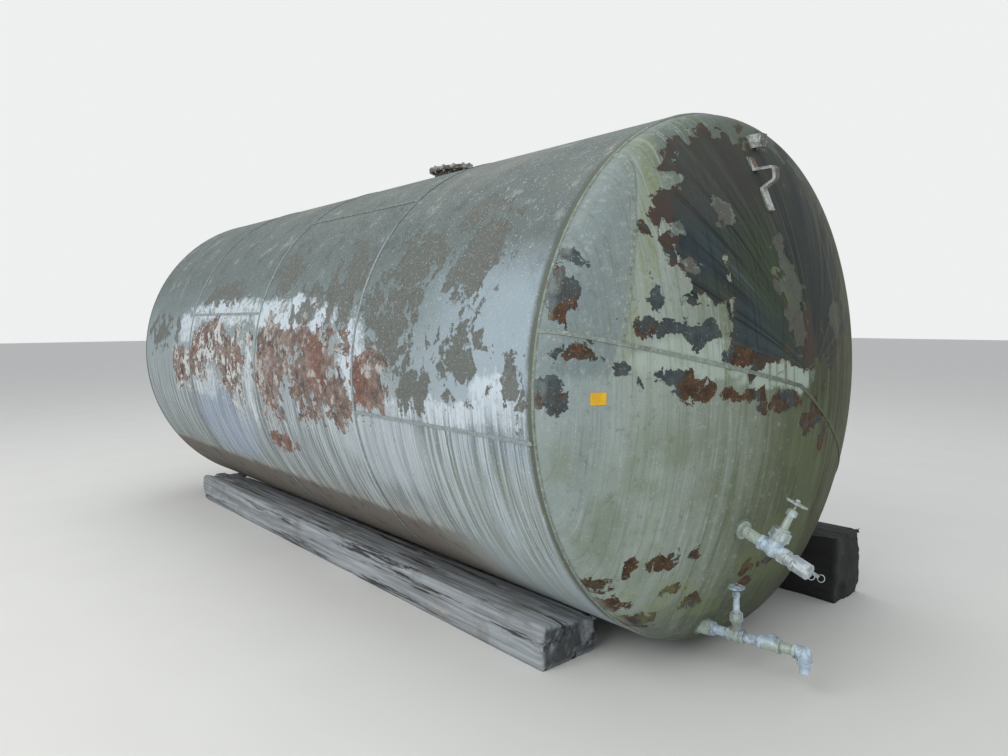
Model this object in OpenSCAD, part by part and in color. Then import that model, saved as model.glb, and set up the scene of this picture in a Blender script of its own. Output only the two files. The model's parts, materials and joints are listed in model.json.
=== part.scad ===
/* [Vessel] */
// Outside diameter of the shell
vessel_d = 2438.4; // [2200:0.1:2600]
// Length of the shell between its ends
shell_l = 4876.8; // [4600:0.1:5100]
// Width of the first rolled course, at the valve end
first_course_w = 1310; // [1200:1:1330]
// Width of the second and third rolled courses
course_w = 1219.2; // [1150:0.1:1260]
// Wall of the shell plates
shell_t = 6.35; // [5:0.05:10]
// Wall of the dished heads
head_t = 8; // [6:0.5:12]
// Crown radius of the dished heads, to the outside
crown_r = 2438.4; // [2300:0.1:2700]
// Knuckle radius of the dished heads, to the outside
knuckle_r = 146; // [120:1:180]
// Straight flange of each head inside the end of the shell
head_flange = 50; // [30:1:80]
// Roll of the vessel on its timbers, clockwise seen from the valve end
vessel_roll = 14; // [10:0.5:18]
// Lowest point of the shell above the ground
ground_gap = 31; // [20:1:60]

/* [Weld seams] */
// Width of a seam weld
weld_w = 16; // [10:1:24]
// Height of a seam weld above the plate
weld_h = 3.5; // [2:0.5:6]
// Leg of the fillet weld between the shell's end and the head
rim_weld_r = 8; // [7:0.5:9.5]
// Clock angle of the lengthwise seam of the first course
seam_clock_1 = -112; // [-120:1:-100]
// Clock angle of the lengthwise seam of the second course
seam_clock_2 = -55; // [-70:1:-40]
// Clock angle of the lengthwise seam of the third course
seam_clock_3 = -88; // [-100:1:-75]
// Clock angle of the lengthwise seam of the fourth course
seam_clock_4 = 70; // [50:1:90]
// Distance of the upright head seam from the vessel's centre plane
side_seam_x = 980; // [900:1:1000]
// Fall of the cross seam to the right of the head's centre, in degrees
seam_fall = 15.7; // [12:0.1:20]
// Fall of the cross seam to the left of the head's centre, in degrees
seam_dip = 2.2; // [0:0.1:4]

/* [Lifting lugs] */
// Width of the bent strap of a lug
lug_w = 38; // [30:1:50]
// Thickness of the bent strap of a lug
lug_t = 12; // [8:1:14]
// Reach of a lug's nose in front of the shell's end
lug_reach = 326; // [316:1:340]
// Distance of a lug's upper leg from the vessel's axis
lug_top = 946; // [935:1:955]
// Outside radius of a lug's two bends
lug_bend = 25; // [20:1:28]
// Straight part of a lug's nose between its bends
lug_nose = 22; // [15:1:30]
// Slope of a lug's lower leg back to the head, in degrees
lug_slope = 28; // [24:1:32]
// Length of the welded tail above the loop
lug_tail_up = 44; // [36:1:60]
// Length of the welded tail below the loop
lug_tail_down = 95; // [60:1:110]
// Clock angle of the lugs
lug_clock = -20; // [-24:0.5:-16]

/* [Plate bracket] */
// Width of the folded bracket near the head's top
bracket_w = 46; // [40:1:60]
// Height of the folded bracket
bracket_h = 58; // [50:1:66]
// Sheet thickness of the bracket
bracket_t = 5; // [3:0.5:6]
// Reach of the bracket's face in front of the shell's end
bracket_reach = 224; // [216:1:236]
// Distance of the bracket's middle from the vessel's axis
bracket_radius = 1072; // [1064:1:1080]
// Clock angle of the bracket
bracket_clock = -15.5; // [-18:0.5:-13]

/* [Inspection fitting] */
// Outside diameter of the neck on top of the shell
neck_d = 219.1; // [200:0.1:230]
// Wall of the neck
neck_t = 8.2; // [6:0.1:12]
// Height of the neck's top face above the shell
neck_h = 43; // [38:1:60]
// Diameter of the flange and its cover
cover_d = 280; // [272:1:300]
// Thickness of the cover
cover_t = 12; // [8:1:16]
// Thickness of the neck's flange
flange_t = 12; // [8:1:14]
// Distance of the fitting from the front end of the shell
neck_y = 1850; // [1800:1:1900]
// Clock angle of the fitting
neck_clock = -22; // [-26:0.5:-18]

/* [Upper outlet] */
// Outside diameter of the upper pipe
up_pipe_d = 48.3; // [46:0.1:50]
// Wall of the upper pipe
up_pipe_t = 3.7; // [3:0.1:5]
// Distance of the upper outlet from the vessel's axis
up_radius = 665; // [640:1:690]
// Clock angle of the upper outlet
up_clock = 192.6; // [190:0.1:195]
// Droop of the upper pipe under the valve's weight, in degrees
up_droop = 2.5; // [0:0.5:4]
// Diameter of the coupling welded in the head
up_coupling_d = 80; // [74:1:88]
// Height of the coupling above the head
up_coupling_h = 16; // [12:1:20]
// Distance from the head to the valve's near end
up_nipple_l = 104; // [95:1:120]
// Length of the valve between its ends
up_valve_l = 113; // [106:1:120]
// Radius of the valve's bowl
up_bowl_r = 35; // [33:1:37]
// Height of the foot of the union nut above the pipe's axis
up_nut_y = 46; // [44:1:48]
// Height of the top of the bonnet's neck
up_neck_y = 153; // [148:1:158]
// Radius of the bonnet's neck at its foot
up_bonnet_foot = 16.5; // [15.5:0.5:18]
// Radius of the bonnet's neck at its top
up_bonnet_top = 13.5; // [12.5:0.5:15]
// Width of the packing nut across its flats
up_packing_d = 37; // [34:1:40]
// Height of the handwheel's lower face
up_wheel_y = 204; // [198:1:215]
// Diameter of the handwheel
up_wheel_d = 90; // [84:1:96]
// Clock angle of the upper valve's stem
up_stem_clock = 5.5; // [2:0.5:9]

/* [Cam-lock cap] */
// Diameter of the male adapter's barrel
barrel_d = 53.4; // [52:0.1:55]
// Outside diameter of the dust cap
cap_d = 64; // [63:0.5:66]
// Length of the dust cap
cap_l = 73; // [68:1:80]
// Clear barrel between the adapter's hexagon and the cap
cap_gap = 27; // [20:1:32]
// Length of a cam arm from its pin to its end
arm_l = 78; // [72:1:86]
// Width of a cam arm
arm_w = 13; // [11:0.5:14]
// Diameter of the pins that carry the cam arms
pin_d = 6; // [5:0.5:7]
// Outside diameter of a pull ring
ring_d = 31; // [28:1:34]
// Wire thickness of a pull ring
wire_d = 2.8; // [2.4:0.1:3]

/* [Drain line] */
// Outside diameter of the drain pipe
lo_pipe_d = 42.2; // [41:0.1:44]
// Wall of the drain pipe
lo_pipe_t = 3.6; // [3:0.1:5]
// Distance of the drain outlet from the vessel's axis
lo_radius = 1113; // [1100:1:1120]
// Clock angle of the drain outlet
lo_clock = 182; // [180:0.5:184]
// Swing of the drain line to the right, in degrees
lo_swing = 7; // [4:0.5:10]
// Rise of the drain line, in degrees
lo_rise = 3; // [1:0.5:5]
// Diameter of the coupling welded in the head
lo_coupling_d = 66; // [62:1:70]
// Length of the coupling in front of the head
lo_coupling_h = 40; // [36:1:46]
// Distance from the head to the valve's near end
lo_nipple_l = 120; // [110:1:130]
// Length of the valve between its ends
lo_valve_l = 73; // [70:1:80]
// Radius of the valve's bowl
lo_bowl_r = 27; // [26:0.5:29]
// Height of the foot of the union nut above the pipe's axis
lo_nut_y = 61; // [56:1:64]
// Height of the top of the bonnet's neck
lo_neck_y = 168; // [164:1:172]
// Radius of the bonnet's neck at its foot
lo_bonnet_foot = 14; // [13:0.5:15]
// Radius of the bonnet's neck at its top
lo_bonnet_top = 12.5; // [11.5:0.5:13]
// Width of the packing nut across its flats
lo_packing_d = 28; // [27:0.5:31]
// Height of the handwheel's lower face
lo_wheel_y = 205; // [198:1:215]
// Diameter of the handwheel
lo_wheel_d = 73; // [68:1:80]
// Clear pipe between the valve and the tee
lo_gap_tee = 65; // [50:1:80]
// Clear pipe between the tee and the elbow
lo_gap_elbow = 53; // [40:1:70]
// Centre to end of the tee and the elbow
fitting_a = 44.5; // [42:0.5:50]
// Length of the spout below the elbow
spout_l = 36; // [20:1:50]
// Clock angle of the drain valve's stem and elbow
lo_stem_clock = -14; // [-18:0.5:-10]

/* [Handwheels] */
// Number of scallops on each handwheel's rim
wheel_lobes = 10; // [8:1:12]
// Number of spokes on each handwheel
wheel_spokes = 5; // [4:1:5]
// Diameter of the valve stems
stem_d = 10; // [9:0.5:11]

/* [Timbers] */
// Length of each timber
timber_l = 4267; // [3800:1:4500]
// Width of the left timber
left_timber_w = 370; // [340:1:390]
// Height of the left timber at its outer edge
left_timber_h = 205; // [190:1:220]
// Distance of the left timber's inner face from the vessel's axis
left_timber_x = 528; // [500:1:545]
// Distance of the left timber's near end behind the shell's front end
left_timber_y = 270; // [200:1:300]
// Width of the right timber
right_timber_w = 305; // [280:1:320]
// Distance of the right timber's inner face from the vessel's axis
right_timber_x = 828; // [800:1:850]
// Distance of the right timber's near end ahead of the shell's front end
right_timber_y = 224; // [100:1:260]
// Depth to which the shell has crushed the timbers' edges
crush = 7; // [4:0.5:10]

/* [Hidden] */
$fn = 96;

// Gap between pieces that seat on each other
seat = 0.3;
// Overlap of cutting shapes past the faces that they cut
cut = 1;
// Depth of a pipe's threaded socket
thread_l = 14;

vessel_r = vessel_d / 2;
axis_h = vessel_r + ground_gap;
// Larger than any outline of the vessel
big = 2 * crown_r;
// Fineness of the vessel's largest curves
fine = 360;
// Place of the rim weld's swollen face, as a share of its leg
rim_weld_face = 0.65;
// Flats on each bend of a lug
bend_steps = 8;

// The dished head's outside: a crown arc and a knuckle arc that meet smoothly
head_r = vessel_r - shell_t - seat;
knuckle_c = head_r - knuckle_r;
crown_drop = sqrt(pow(crown_r - knuckle_r, 2) - pow(knuckle_c, 2));
crown_angle = asin(knuckle_c / (crown_r - knuckle_r));
head_depth = crown_r - crown_drop;

// Reach of the head in front of the shell's end, at radius r
function head_y(r) = r < crown_r * sin(crown_angle)
    ? sqrt(pow(crown_r, 2) - pow(r, 2)) - crown_drop
    : sqrt(pow(knuckle_r, 2) - pow(r - knuckle_c, 2));

// Stations along the upper outlet, from the head's surface
up_pipe_r = up_pipe_d / 2;
up_valve_z = up_nipple_l + up_valve_l / 2;
up_valve_end = up_nipple_l + up_valve_l;
up_nut_r = up_bowl_r + 3;
up_nut_h = 38;
up_packing_h = 24;
adapter_hex_l = 18;
barrel_r = barrel_d / 2;
cap_z = up_valve_end + adapter_hex_l + cap_gap;
cap_r = cap_d / 2;
cap_end = cap_z + cap_l;
cap_wall_l = 14;
cap_bead = 2;
cap_collar_l = 5;
slot_gap = 2;
pin_back = 18;
pin_out = 8;
pin_z = cap_z + pin_back;
pin_x = cap_r + pin_out;
pin_gap = 1;
ear_t = 5;
arm_t = 6;
lobe_r = 9;
lobe_shift = 4;
groove_r = 7;
groove_shift = 3;
adapter_hex_wall = 2.5;
ring_r = (ring_d - wire_d) / 2;
eye_r = 5;
eye_z = pin_z + arm_l - eye_r;
eye_gap = 1;

// Stations along the drain line, from the head's surface
lo_pipe_r = lo_pipe_d / 2;
lo_valve_z = lo_nipple_l + lo_valve_l / 2;
lo_valve_end = lo_nipple_l + lo_valve_l;
lo_nut_r = lo_bowl_r - 2;
lo_nut_h = 36;
lo_packing_h = 20;
bushing_l = 18;
bushing_step = 3;
bushing_r = lo_coupling_d / 2 - bushing_step;
tee_z = lo_valve_end + lo_gap_tee + fitting_a;
elbow_z = tee_z + 2 * fitting_a + lo_gap_elbow;
fitting_wall = 5.5;
fitting_r = lo_pipe_r + fitting_wall;
fitting_port = lo_pipe_r - 3;
band_wall = 9;
band_r = lo_pipe_r + band_wall;
band_l = 13;

// Steps and walls that both gate valves share
socket_wall = 3.5;
end_hex_wall = 5.5;
end_hex_l = 15;
collar_wall = 5;
collar_l = 4;
collar_gap = 2;
port_step = 5;
gate_half = 8;
nut_wall = 6;
nut_step = 11;
lip_wall = 3;
lip_l = 8;
neck_rise = 12;
bonnet_flange_h = 6;
bonnet_hex_h = 10;
nut_foot_ratio = 1.14;
nut_top_ratio = 1.08;
dome_foot_ratio = 0.46;
dome_top_ratio = 0.36;
dome_h = 4;
stem_gap = 2;
spigot_wall = 4;
spigot_h = 12;

// Sections of a handwheel's rim and hub
rim_w = 10;
rim_h = 8;
scallop_r = 10;
scallop_depth = 3.5;
hub_r = 11;
hub_h = 12;
spoke_h = 5;
spoke_lift = 1;

// Foremost point, at the tip of the right pull ring, and the origin's place between the ends
up_lean = asin(up_radius / crown_r) + up_droop;
ring_side = sin(up_lean) * sin(up_clock - up_stem_clock);
front_tip = head_y(up_radius) + cos(up_lean) * (eye_z + ring_r) + abs(ring_side) * pin_x
    + ring_r * sqrt(1 - pow(ring_side, 2)) + wire_d / 2;
origin_y = (shell_l + head_depth - front_tip) / 2;

steel = [0.62, 0.65, 0.60];
weld_grey = [0.72, 0.74, 0.70];
galvanised = [0.82, 0.84, 0.84];
timber_grey = [0.40, 0.37, 0.33];

// The vessel's own frame: its axis along Y from the shell's front end, rolled on the timbers
module vessel() {
    translate([0, -origin_y, axis_h]) rotate([0, vessel_roll, 0]) children();
}

// Turns a shape from the vessel's top to a clock angle, clockwise from the valve end
module clock(angle) {
    rotate([0, angle, 0]) children();
}

// Carries a shape made for the front end to the rear end
module rear_end() {
    translate([0, shell_l, 0]) mirror([0, 1, 0]) children();
}

// Places a shape drawn upward on the front end's plane, so that up becomes forward
module forward() {
    rotate([90, 0, 0]) children();
}

// Frame of the upper outlet in the vessel: Z along the pipe, Y along the valve's stem
module upper_aim() {
    clock(up_clock) translate([0, -head_y(up_radius), up_radius])
        rotate([90 - up_lean, 0, 0]) rotate([0, 0, up_clock - up_stem_clock]) children();
}

// Frame of the drain line in the vessel: Z along the pipe, Y along the valve's stem
module drain_aim() {
    translate([lo_radius * sin(lo_clock), -head_y(lo_radius), lo_radius * cos(lo_clock)])
        rotate([0, 0, lo_swing]) rotate([90 - lo_rise, 0, 0]) rotate([0, 0, -lo_stem_clock])
            children();
}

// Tube along Z between two heights
module tube(r_out, r_in, z0, z1) {
    translate([0, 0, z0]) difference() {
        cylinder(r = r_out, h = z1 - z0);
        translate([0, 0, -cut]) cylinder(r = r_in, h = z1 - z0 + 2 * cut);
    }
}

// Hexagonal prism along Z between two heights, measured across its flats
module hex(flats, z0, z1) {
    translate([0, 0, z0]) cylinder(r = flats / sqrt(3), h = z1 - z0, $fn = 6);
}

// Turns a shape drawn along Z so that it stands along Y
module upright() {
    rotate([-90, 0, 0]) children();
}

// Half section of the space inside a head, out to a distance from the head's outside
module dish_region(out) {
    translate([0, -crown_drop]) intersection() {
        circle(r = crown_r + out, $fn = 4 * fine);
        polygon([[0, 0], [0, big], [big * sin(crown_angle), big * cos(crown_angle)]]);
    }
    translate([knuckle_c, 0]) circle(r = knuckle_r + out);
    translate([0, -head_flange]) square([head_r + out, head_flange]);
}

// Solid of revolution between two distances from the head's outside, ahead of a given plane
module dish(lo, hi, back) {
    forward() rotate_extrude($fn = fine) difference() {
        dish_region(hi);
        dish_region(lo);
        translate([0, back - big]) square([big, big]);
    }
}

// A head's wall with the straight flange that stands inside the shell
module head_wall() {
    dish(-head_t, 0, -head_flange);
}

// Prism through the front head over an outline in the plane of the shell's end
module through_head(points) {
    translate([0, 2 * head_flange, 0]) forward()
        linear_extrude(head_depth + 3 * head_flange) polygon(points);
}

// Ends of the head's seams beyond the rim, and the foot of the upright seam
edge = 1.1 * vessel_r;
left_end = -edge * tan(seam_dip);
right_end = -edge * tan(seam_fall);
side_foot = -side_seam_x * tan(seam_dip);

// Distance of a course's far edge behind the shell's front end
function course_end(index) = index == 4 ? shell_l
    : index == 0 ? 0 : first_course_w + (index - 1) * course_w;

// One rolled course, numbered from the valve end
module shell_course(index) {
    color(steel) vessel() difference() {
        translate([0, course_end(index), 0]) forward()
            tube(vessel_r, vessel_r - shell_t, 0, course_end(index) - course_end(index - 1));
        if (index == 2) neck_axis() cylinder(r = neck_d / 2 + seat, h = 2 * neck_h, center = true);
    }
}

// Band of weld on the shell between two distances from its front end
module weld_band(y0, y1) {
    translate([0, y1, 0]) forward() tube(vessel_r + weld_h, vessel_r + seat, 0, y1 - y0);
}

// Lengthwise weld along a course, clear of the rim
module length_weld(index, angle) {
    intersection() {
        weld_band(course_end(index - 1) + weld_w / 2, course_end(index) - weld_w / 2);
        clock(angle) translate([-weld_w / 2, 0, 0]) cube([weld_w, shell_l, edge]);
    }
}
module shell_seam_welds() {
    color(weld_grey) vessel() union() {
        for (i = [1:3]) weld_band(course_end(i) - weld_w / 2, course_end(i) + weld_w / 2);
        length_weld(1, seam_clock_1);
        length_weld(2, seam_clock_2);
        length_weld(3, seam_clock_3);
        length_weld(4, seam_clock_4);
    }
}

// Fillet weld on the shell's end face, round the head's knuckle
module rim_weld() {
    root = head_r + seat;
    face = rim_weld_face * rim_weld_r;
    forward() rotate_extrude($fn = fine) polygon([[root, seat], [root + rim_weld_r, seat],
        [root + face, seat + face], [root, seat + rim_weld_r]]);
}
module front_rim_weld() {
    color(weld_grey) vessel() rim_weld();
}
module rear_rim_weld() {
    color(weld_grey) vessel() rear_end() rim_weld();
}

// The front head's three plates meet at its seams
module front_head_side_plate() {
    color(steel) vessel() intersection() {
        head_wall();
        through_head([[-edge, left_end], [-side_seam_x, side_foot], [-side_seam_x, edge], [-edge, edge]]);
    }
}
module front_head_upper_plate() {
    color(steel) vessel() intersection() {
        head_wall();
        through_head([[-side_seam_x, side_foot], [0, 0], [edge, right_end], [edge, edge],
            [-side_seam_x, edge]]);
    }
}
module front_head_lower_plate() {
    color(steel) vessel() difference() {
        intersection() {
            head_wall();
            through_head([[-edge, left_end], [0, 0], [edge, right_end], [edge, -edge], [-edge, -edge]]);
        }
        upper_aim() cylinder(r = up_coupling_d / 2 + seat, h = 4 * up_coupling_h, center = true);
        drain_aim() cylinder(r = lo_coupling_d / 2 + seat, h = 4 * lo_coupling_h, center = true);
    }
}
module rear_head() {
    color(steel) vessel() rear_end() head_wall();
}

// Raised welds over the front head's seams, clear of the rim weld
module front_head_seam_welds() {
    half = weld_w / 2;
    color(weld_grey) vessel() intersection() {
        dish(seat, weld_h, rim_weld_r + cut);
        union() {
            through_head([[-edge, left_end - half], [0, -half], [0, half], [-edge, left_end + half]]);
            through_head([[0, -half], [edge, right_end - half], [edge, right_end + half], [0, half]]);
            through_head([[-side_seam_x - half, side_foot], [half - side_seam_x, side_foot],
                [half - side_seam_x, edge], [-side_seam_x - half, edge]]);
        }
    }
}

// Extrudes a side view, drawn as reach against height, to both sides of the vertical
module side_view(width) {
    translate([width / 2, 0, 0]) rotate([90, 0, -90]) linear_extrude(width) children();
}

// Reach of the crown, grown by a distance, at a height from the vessel's axis
function crown_x(height, out) = sqrt(pow(crown_r + out, 2) - pow(height, 2)) - crown_drop;

// Points of a lug's bend about a centre at a height, between two angles
lug_bend_x = lug_reach - lug_bend;
lug_high = lug_top - lug_bend;
lug_low = lug_high - lug_nose;
function bend(height, r, from, to) = [for (i = [0:bend_steps])
    let (a = from + (to - from) * i / bend_steps) [lug_bend_x + r * cos(a), height + r * sin(a)]];

// Height of a lug's lower leg where it is x in front of the shell's end, on its side at radius r
function leg_y(x, r) = lug_low - r * cos(lug_slope) - (lug_bend_x + r * sin(lug_slope) - x) * tan(lug_slope);

// Side view of a lug: level upper leg, two bends, a leg that slopes back, and two tails
module lug_profile() {
    turn = lug_slope - 90;
    inside = lug_bend - lug_t;
    foot = leg_y(crown_x(lug_top - 4 * lug_bend, lug_t), lug_bend);
    tail_top = lug_top + lug_tail_up;
    tail_foot = foot - lug_tail_down;
    deep_x = crown_x(foot, -lug_t);
    difference() {
        polygon(concat(
            [[crown_x(tail_top, -lug_t), tail_top], [crown_x(tail_top, lug_t), tail_top]],
            [[crown_x(lug_top, lug_t), lug_top]],
            bend(lug_high, lug_bend, 90, 0),
            bend(lug_low, lug_bend, 0, turn),
            [[crown_x(foot, lug_t), foot], [crown_x(tail_foot, lug_t), tail_foot]],
            [[crown_x(tail_foot, -lug_t), tail_foot], [deep_x, leg_y(deep_x, inside)]],
            bend(lug_low, inside, turn, 0),
            bend(lug_high, inside, 0, 90),
            [[crown_x(lug_top, -lug_t), lug_top - lug_t]]));
        translate([-crown_drop, 0]) circle(r = crown_r + seat, $fn = 4 * fine);
    }
}
module front_lifting_lug() {
    color(weld_grey) vessel() clock(lug_clock) side_view(lug_w) lug_profile();
}
module rear_lifting_lug() {
    color(weld_grey) vessel() rear_end() clock(lug_clock) side_view(lug_w) lug_profile();
}

// Folded sheet bracket: a face and two cheeks coped to the head
module plate_bracket() {
    foot = bracket_radius - bracket_h / 2;
    color(weld_grey) vessel() clock(bracket_clock) difference() {
        side_view(bracket_w) difference() {
            translate([0, foot]) square([bracket_reach, bracket_h]);
            translate([-crown_drop, 0]) circle(r = crown_r + seat, $fn = 4 * fine);
        }
        side_view(bracket_w - 2 * bracket_t)
            translate([-cut, foot - cut]) square([bracket_reach - bracket_t + cut, bracket_h + 2 * cut]);
    }
}

// Axis of the inspection fitting, outward through the shell
module neck_axis() {
    clock(neck_clock) translate([0, neck_y, vessel_r]) children();
}
module inspection_neck() {
    color(steel) vessel() neck_axis() tube(neck_d / 2, neck_d / 2 - neck_t, -4 * shell_t, neck_h);
}
module inspection_flange() {
    color(steel) vessel() neck_axis() tube(cover_d / 2, neck_d / 2 + seat, neck_h - flange_t, neck_h);
}
module inspection_cover() {
    color(steel) vessel() neck_axis() translate([0, 0, neck_h]) cylinder(r = cover_d / 2, h = cover_t);
}

// Handwheel with its lower face at the origin and its axis along Y
module handwheel(wheel_d) {
    rim_r = wheel_d / 2 - rim_w / 2;
    upright() difference() {
        union() {
            rotate_extrude() translate([rim_r, rim_h / 2]) {
                square([rim_w - rim_h, rim_h], center = true);
                for (side = [-1, 1]) translate([side * (rim_w - rim_h) / 2, 0]) circle(r = rim_h / 2);
            }
            for (i = [1:wheel_spokes]) rotate(i * 360 / wheel_spokes)
                translate([0, -rim_h / 2, spoke_lift]) cube([rim_r, rim_h, spoke_h]);
            cylinder(r = hub_r, h = hub_h);
        }
        translate([0, 0, -cut]) cylinder(r = stem_d / 2 + seat, h = hub_h + 2 * cut);
        for (i = [1:wheel_lobes]) rotate((i + 0.5) * 360 / wheel_lobes)
            translate([wheel_d / 2 + scallop_r - scallop_depth, 0, -cut])
                cylinder(r = scallop_r, h = hub_h + 2 * cut);
    }
}

// Valve stem along Y, with the shoulder under the handwheel and the stub for its nut
module stem(foot, wheel_y) {
    upright() {
        translate([0, 0, foot]) cylinder(r = stem_d / 2, h = wheel_y + hub_h + rim_h - foot);
        translate([0, 0, wheel_y - seat - rim_h / 2]) cylinder(r = stem_d / 2 + stem_gap, h = rim_h / 2);
    }
}

// Gate valve body along Z with its stem neck along Y, bored from both ends to the closed gate
module valve_body(pipe_r, length, bowl_r, nut_r, nut_y) {
    half = length / 2;
    hex_z = half - end_hex_l;
    union_r = nut_r - nut_wall;
    difference() {
        union() {
            translate([0, 0, -half]) cylinder(r = pipe_r + socket_wall, h = length);
            for (side = [0, 1]) mirror([0, 0, side]) {
                hex(2 * (pipe_r + end_hex_wall), hex_z, half);
                translate([0, 0, hex_z - collar_gap - collar_l])
                    cylinder(r = pipe_r + collar_wall, h = collar_l);
            }
            sphere(r = bowl_r);
            upright() cylinder(r = union_r, h = nut_y + neck_rise);
            upright() translate([0, 0, nut_y - lip_l]) cylinder(r = union_r + lip_wall, h = lip_l - seat);
        }
        for (side = [0, 1]) mirror([0, 0, side]) {
            translate([0, 0, half - thread_l]) cylinder(r = pipe_r + seat, h = thread_l + cut);
            translate([0, 0, gate_half]) cylinder(r = pipe_r - port_step, h = half);
        }
        upright() cylinder(r = stem_d / 2 + stem_gap, h = nut_y + neck_rise + cut);
    }
}

// Bonnet: flange under the union nut, shoulder, hexagon, tapered neck and packing spigot
module valve_bonnet(nut_r, nut_y, nut_h, neck_y, foot_r, top_r) {
    shoulder = nut_r - nut_step;
    base = nut_y + neck_rise;
    hex_y = nut_y + nut_h + seat;
    cone_y = hex_y + bonnet_hex_h;
    upright() difference() {
        union() {
            translate([0, 0, base]) cylinder(r = nut_r - nut_wall, h = bonnet_flange_h);
            translate([0, 0, base]) cylinder(r = shoulder, h = hex_y - base);
            hex(2 * shoulder + stem_gap, hex_y, cone_y);
            translate([0, 0, cone_y]) cylinder(r1 = foot_r, r2 = top_r, h = neck_y - cone_y);
            translate([0, 0, neck_y]) cylinder(r = stem_d / 2 + spigot_wall, h = spigot_h);
        }
        translate([0, 0, base - cut]) cylinder(r = stem_d / 2 + seat, h = neck_y);
    }
}

// Union nut over the body's neck and the bonnet's flange
module union_nut(nut_r, nut_y, nut_h) {
    upright() difference() {
        intersection() {
            hex(2 * nut_r, nut_y, nut_y + nut_h);
            translate([0, 0, nut_y])
                cylinder(r1 = nut_r * nut_foot_ratio, r2 = nut_r * nut_top_ratio, h = nut_h);
        }
        translate([0, 0, nut_y - cut])
            cylinder(r = nut_r - nut_wall + seat, h = neck_rise + bonnet_flange_h + cut + seat);
        translate([0, 0, nut_y]) cylinder(r = nut_r - nut_step + seat, h = nut_h + cut);
    }
}

// Packing nut over the bonnet's spigot, round the stem
module packing_nut(neck_y, flats, height) {
    upright() difference() {
        union() {
            hex(flats, neck_y + seat, neck_y + height);
            translate([0, 0, neck_y + height])
                cylinder(r1 = flats * dome_foot_ratio, r2 = flats * dome_top_ratio, h = dome_h);
        }
        translate([0, 0, neck_y]) cylinder(r = stem_d / 2 + spigot_wall + seat, h = spigot_h + seat);
        translate([0, 0, neck_y]) cylinder(r = stem_d / 2 + seat, h = 2 * height);
    }
}

// Frames of the two valves
module upper_outlet() {
    color(galvanised) vessel() upper_aim() children();
}
module upper_valve() {
    upper_outlet() translate([0, 0, up_valve_z]) children();
}
module drain_outlet() {
    color(galvanised) vessel() drain_aim() children();
}
module drain_valve() {
    drain_outlet() translate([0, 0, lo_valve_z]) children();
}

module upper_coupling() {
    upper_outlet() tube(up_coupling_d / 2, up_pipe_r + seat, -2 * up_coupling_h, up_coupling_h);
}
module upper_nipple() {
    upper_outlet() tube(up_pipe_r, up_pipe_r - up_pipe_t, -up_coupling_h, up_nipple_l + thread_l);
}
module upper_valve_body() {
    upper_valve() valve_body(up_pipe_r, up_valve_l, up_bowl_r, up_nut_r, up_nut_y);
}
module upper_valve_bonnet() {
    upper_valve()
        valve_bonnet(up_nut_r, up_nut_y, up_nut_h, up_neck_y, up_bonnet_foot, up_bonnet_top);
}
module upper_union_nut() {
    upper_valve() union_nut(up_nut_r, up_nut_y, up_nut_h);
}
module upper_packing_nut() {
    upper_valve() packing_nut(up_neck_y, up_packing_d, up_packing_h);
}
module upper_stem() {
    upper_valve() stem(up_nut_y, up_wheel_y);
}
module upper_handwheel() {
    upper_valve() translate([0, up_wheel_y, 0]) handwheel(up_wheel_d);
}

// Male cam-lock adapter: spigot in the valve, hexagon and grooved barrel inside the cap
module cam_adapter() {
    barrel_end = cap_end - cap_wall_l;
    upper_outlet() difference() {
        union() {
            translate([0, 0, up_valve_end - thread_l]) cylinder(r = up_pipe_r, h = thread_l);
            hex(barrel_d + 2 * adapter_hex_wall, up_valve_end, up_valve_end + adapter_hex_l);
            translate([0, 0, up_valve_end]) cylinder(r = barrel_r, h = barrel_end - up_valve_end);
        }
        translate([0, 0, up_valve_end - thread_l - cut])
            cylinder(r = up_pipe_r - port_step, h = barrel_end - up_valve_end + thread_l + 2 * cut);
        translate([0, 0, pin_z]) rotate_extrude()
            translate([barrel_r + groove_shift, 0]) circle(r = groove_r);
    }
}

// One cheek of the cap beside a cam arm, with a round end about the pin
module cap_ear(side) {
    root = side * (pin_x + barrel_r + cap_bead) / 2;
    translate([side * pin_x, 0, pin_z]) upright() cylinder(r = pin_d, h = ear_t, center = true);
    translate([root, 0, pin_z])
        cube([pin_x - barrel_r - cap_bead, ear_t, 2 * pin_d], center = true);
}

// Dust cap: closed cup with a slot, two ears and a pin on each side for its cam arms
module dust_cap() {
    slot_z0 = pin_z - lobe_r - slot_gap;
    slot_z1 = pin_z + lobe_r + lobe_shift + slot_gap;
    slot_reach = 2 * (cap_r - barrel_r + slot_gap);
    ear_y = arm_w / 2 + pin_gap + ear_t / 2;
    upper_outlet() difference() {
        union() {
            translate([0, 0, cap_z]) cylinder(r = cap_r, h = cap_l - cap_bead);
            translate([0, 0, cap_end - cap_bead]) cylinder(r1 = cap_r, r2 = cap_r - cap_bead, h = cap_bead);
            translate([0, 0, cap_z]) cylinder(r = cap_r + cap_bead, h = cap_collar_l);
            for (side = [-1, 1]) {
                for (ear = [-1, 1]) translate([0, ear * ear_y, 0]) cap_ear(side);
                translate([side * pin_x, 0, pin_z]) upright()
                    cylinder(r = pin_d / 2, h = 2 * ear_y, center = true);
            }
        }
        translate([0, 0, cap_z - cut])
            cylinder(r = barrel_r + seat, h = cap_l - cap_wall_l + cut + seat);
        for (side = [-1, 1]) translate([side * cap_r, 0, (slot_z0 + slot_z1) / 2])
            cube([slot_reach, arm_w + 2 * pin_gap, slot_z1 - slot_z0], center = true);
    }
}

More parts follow.
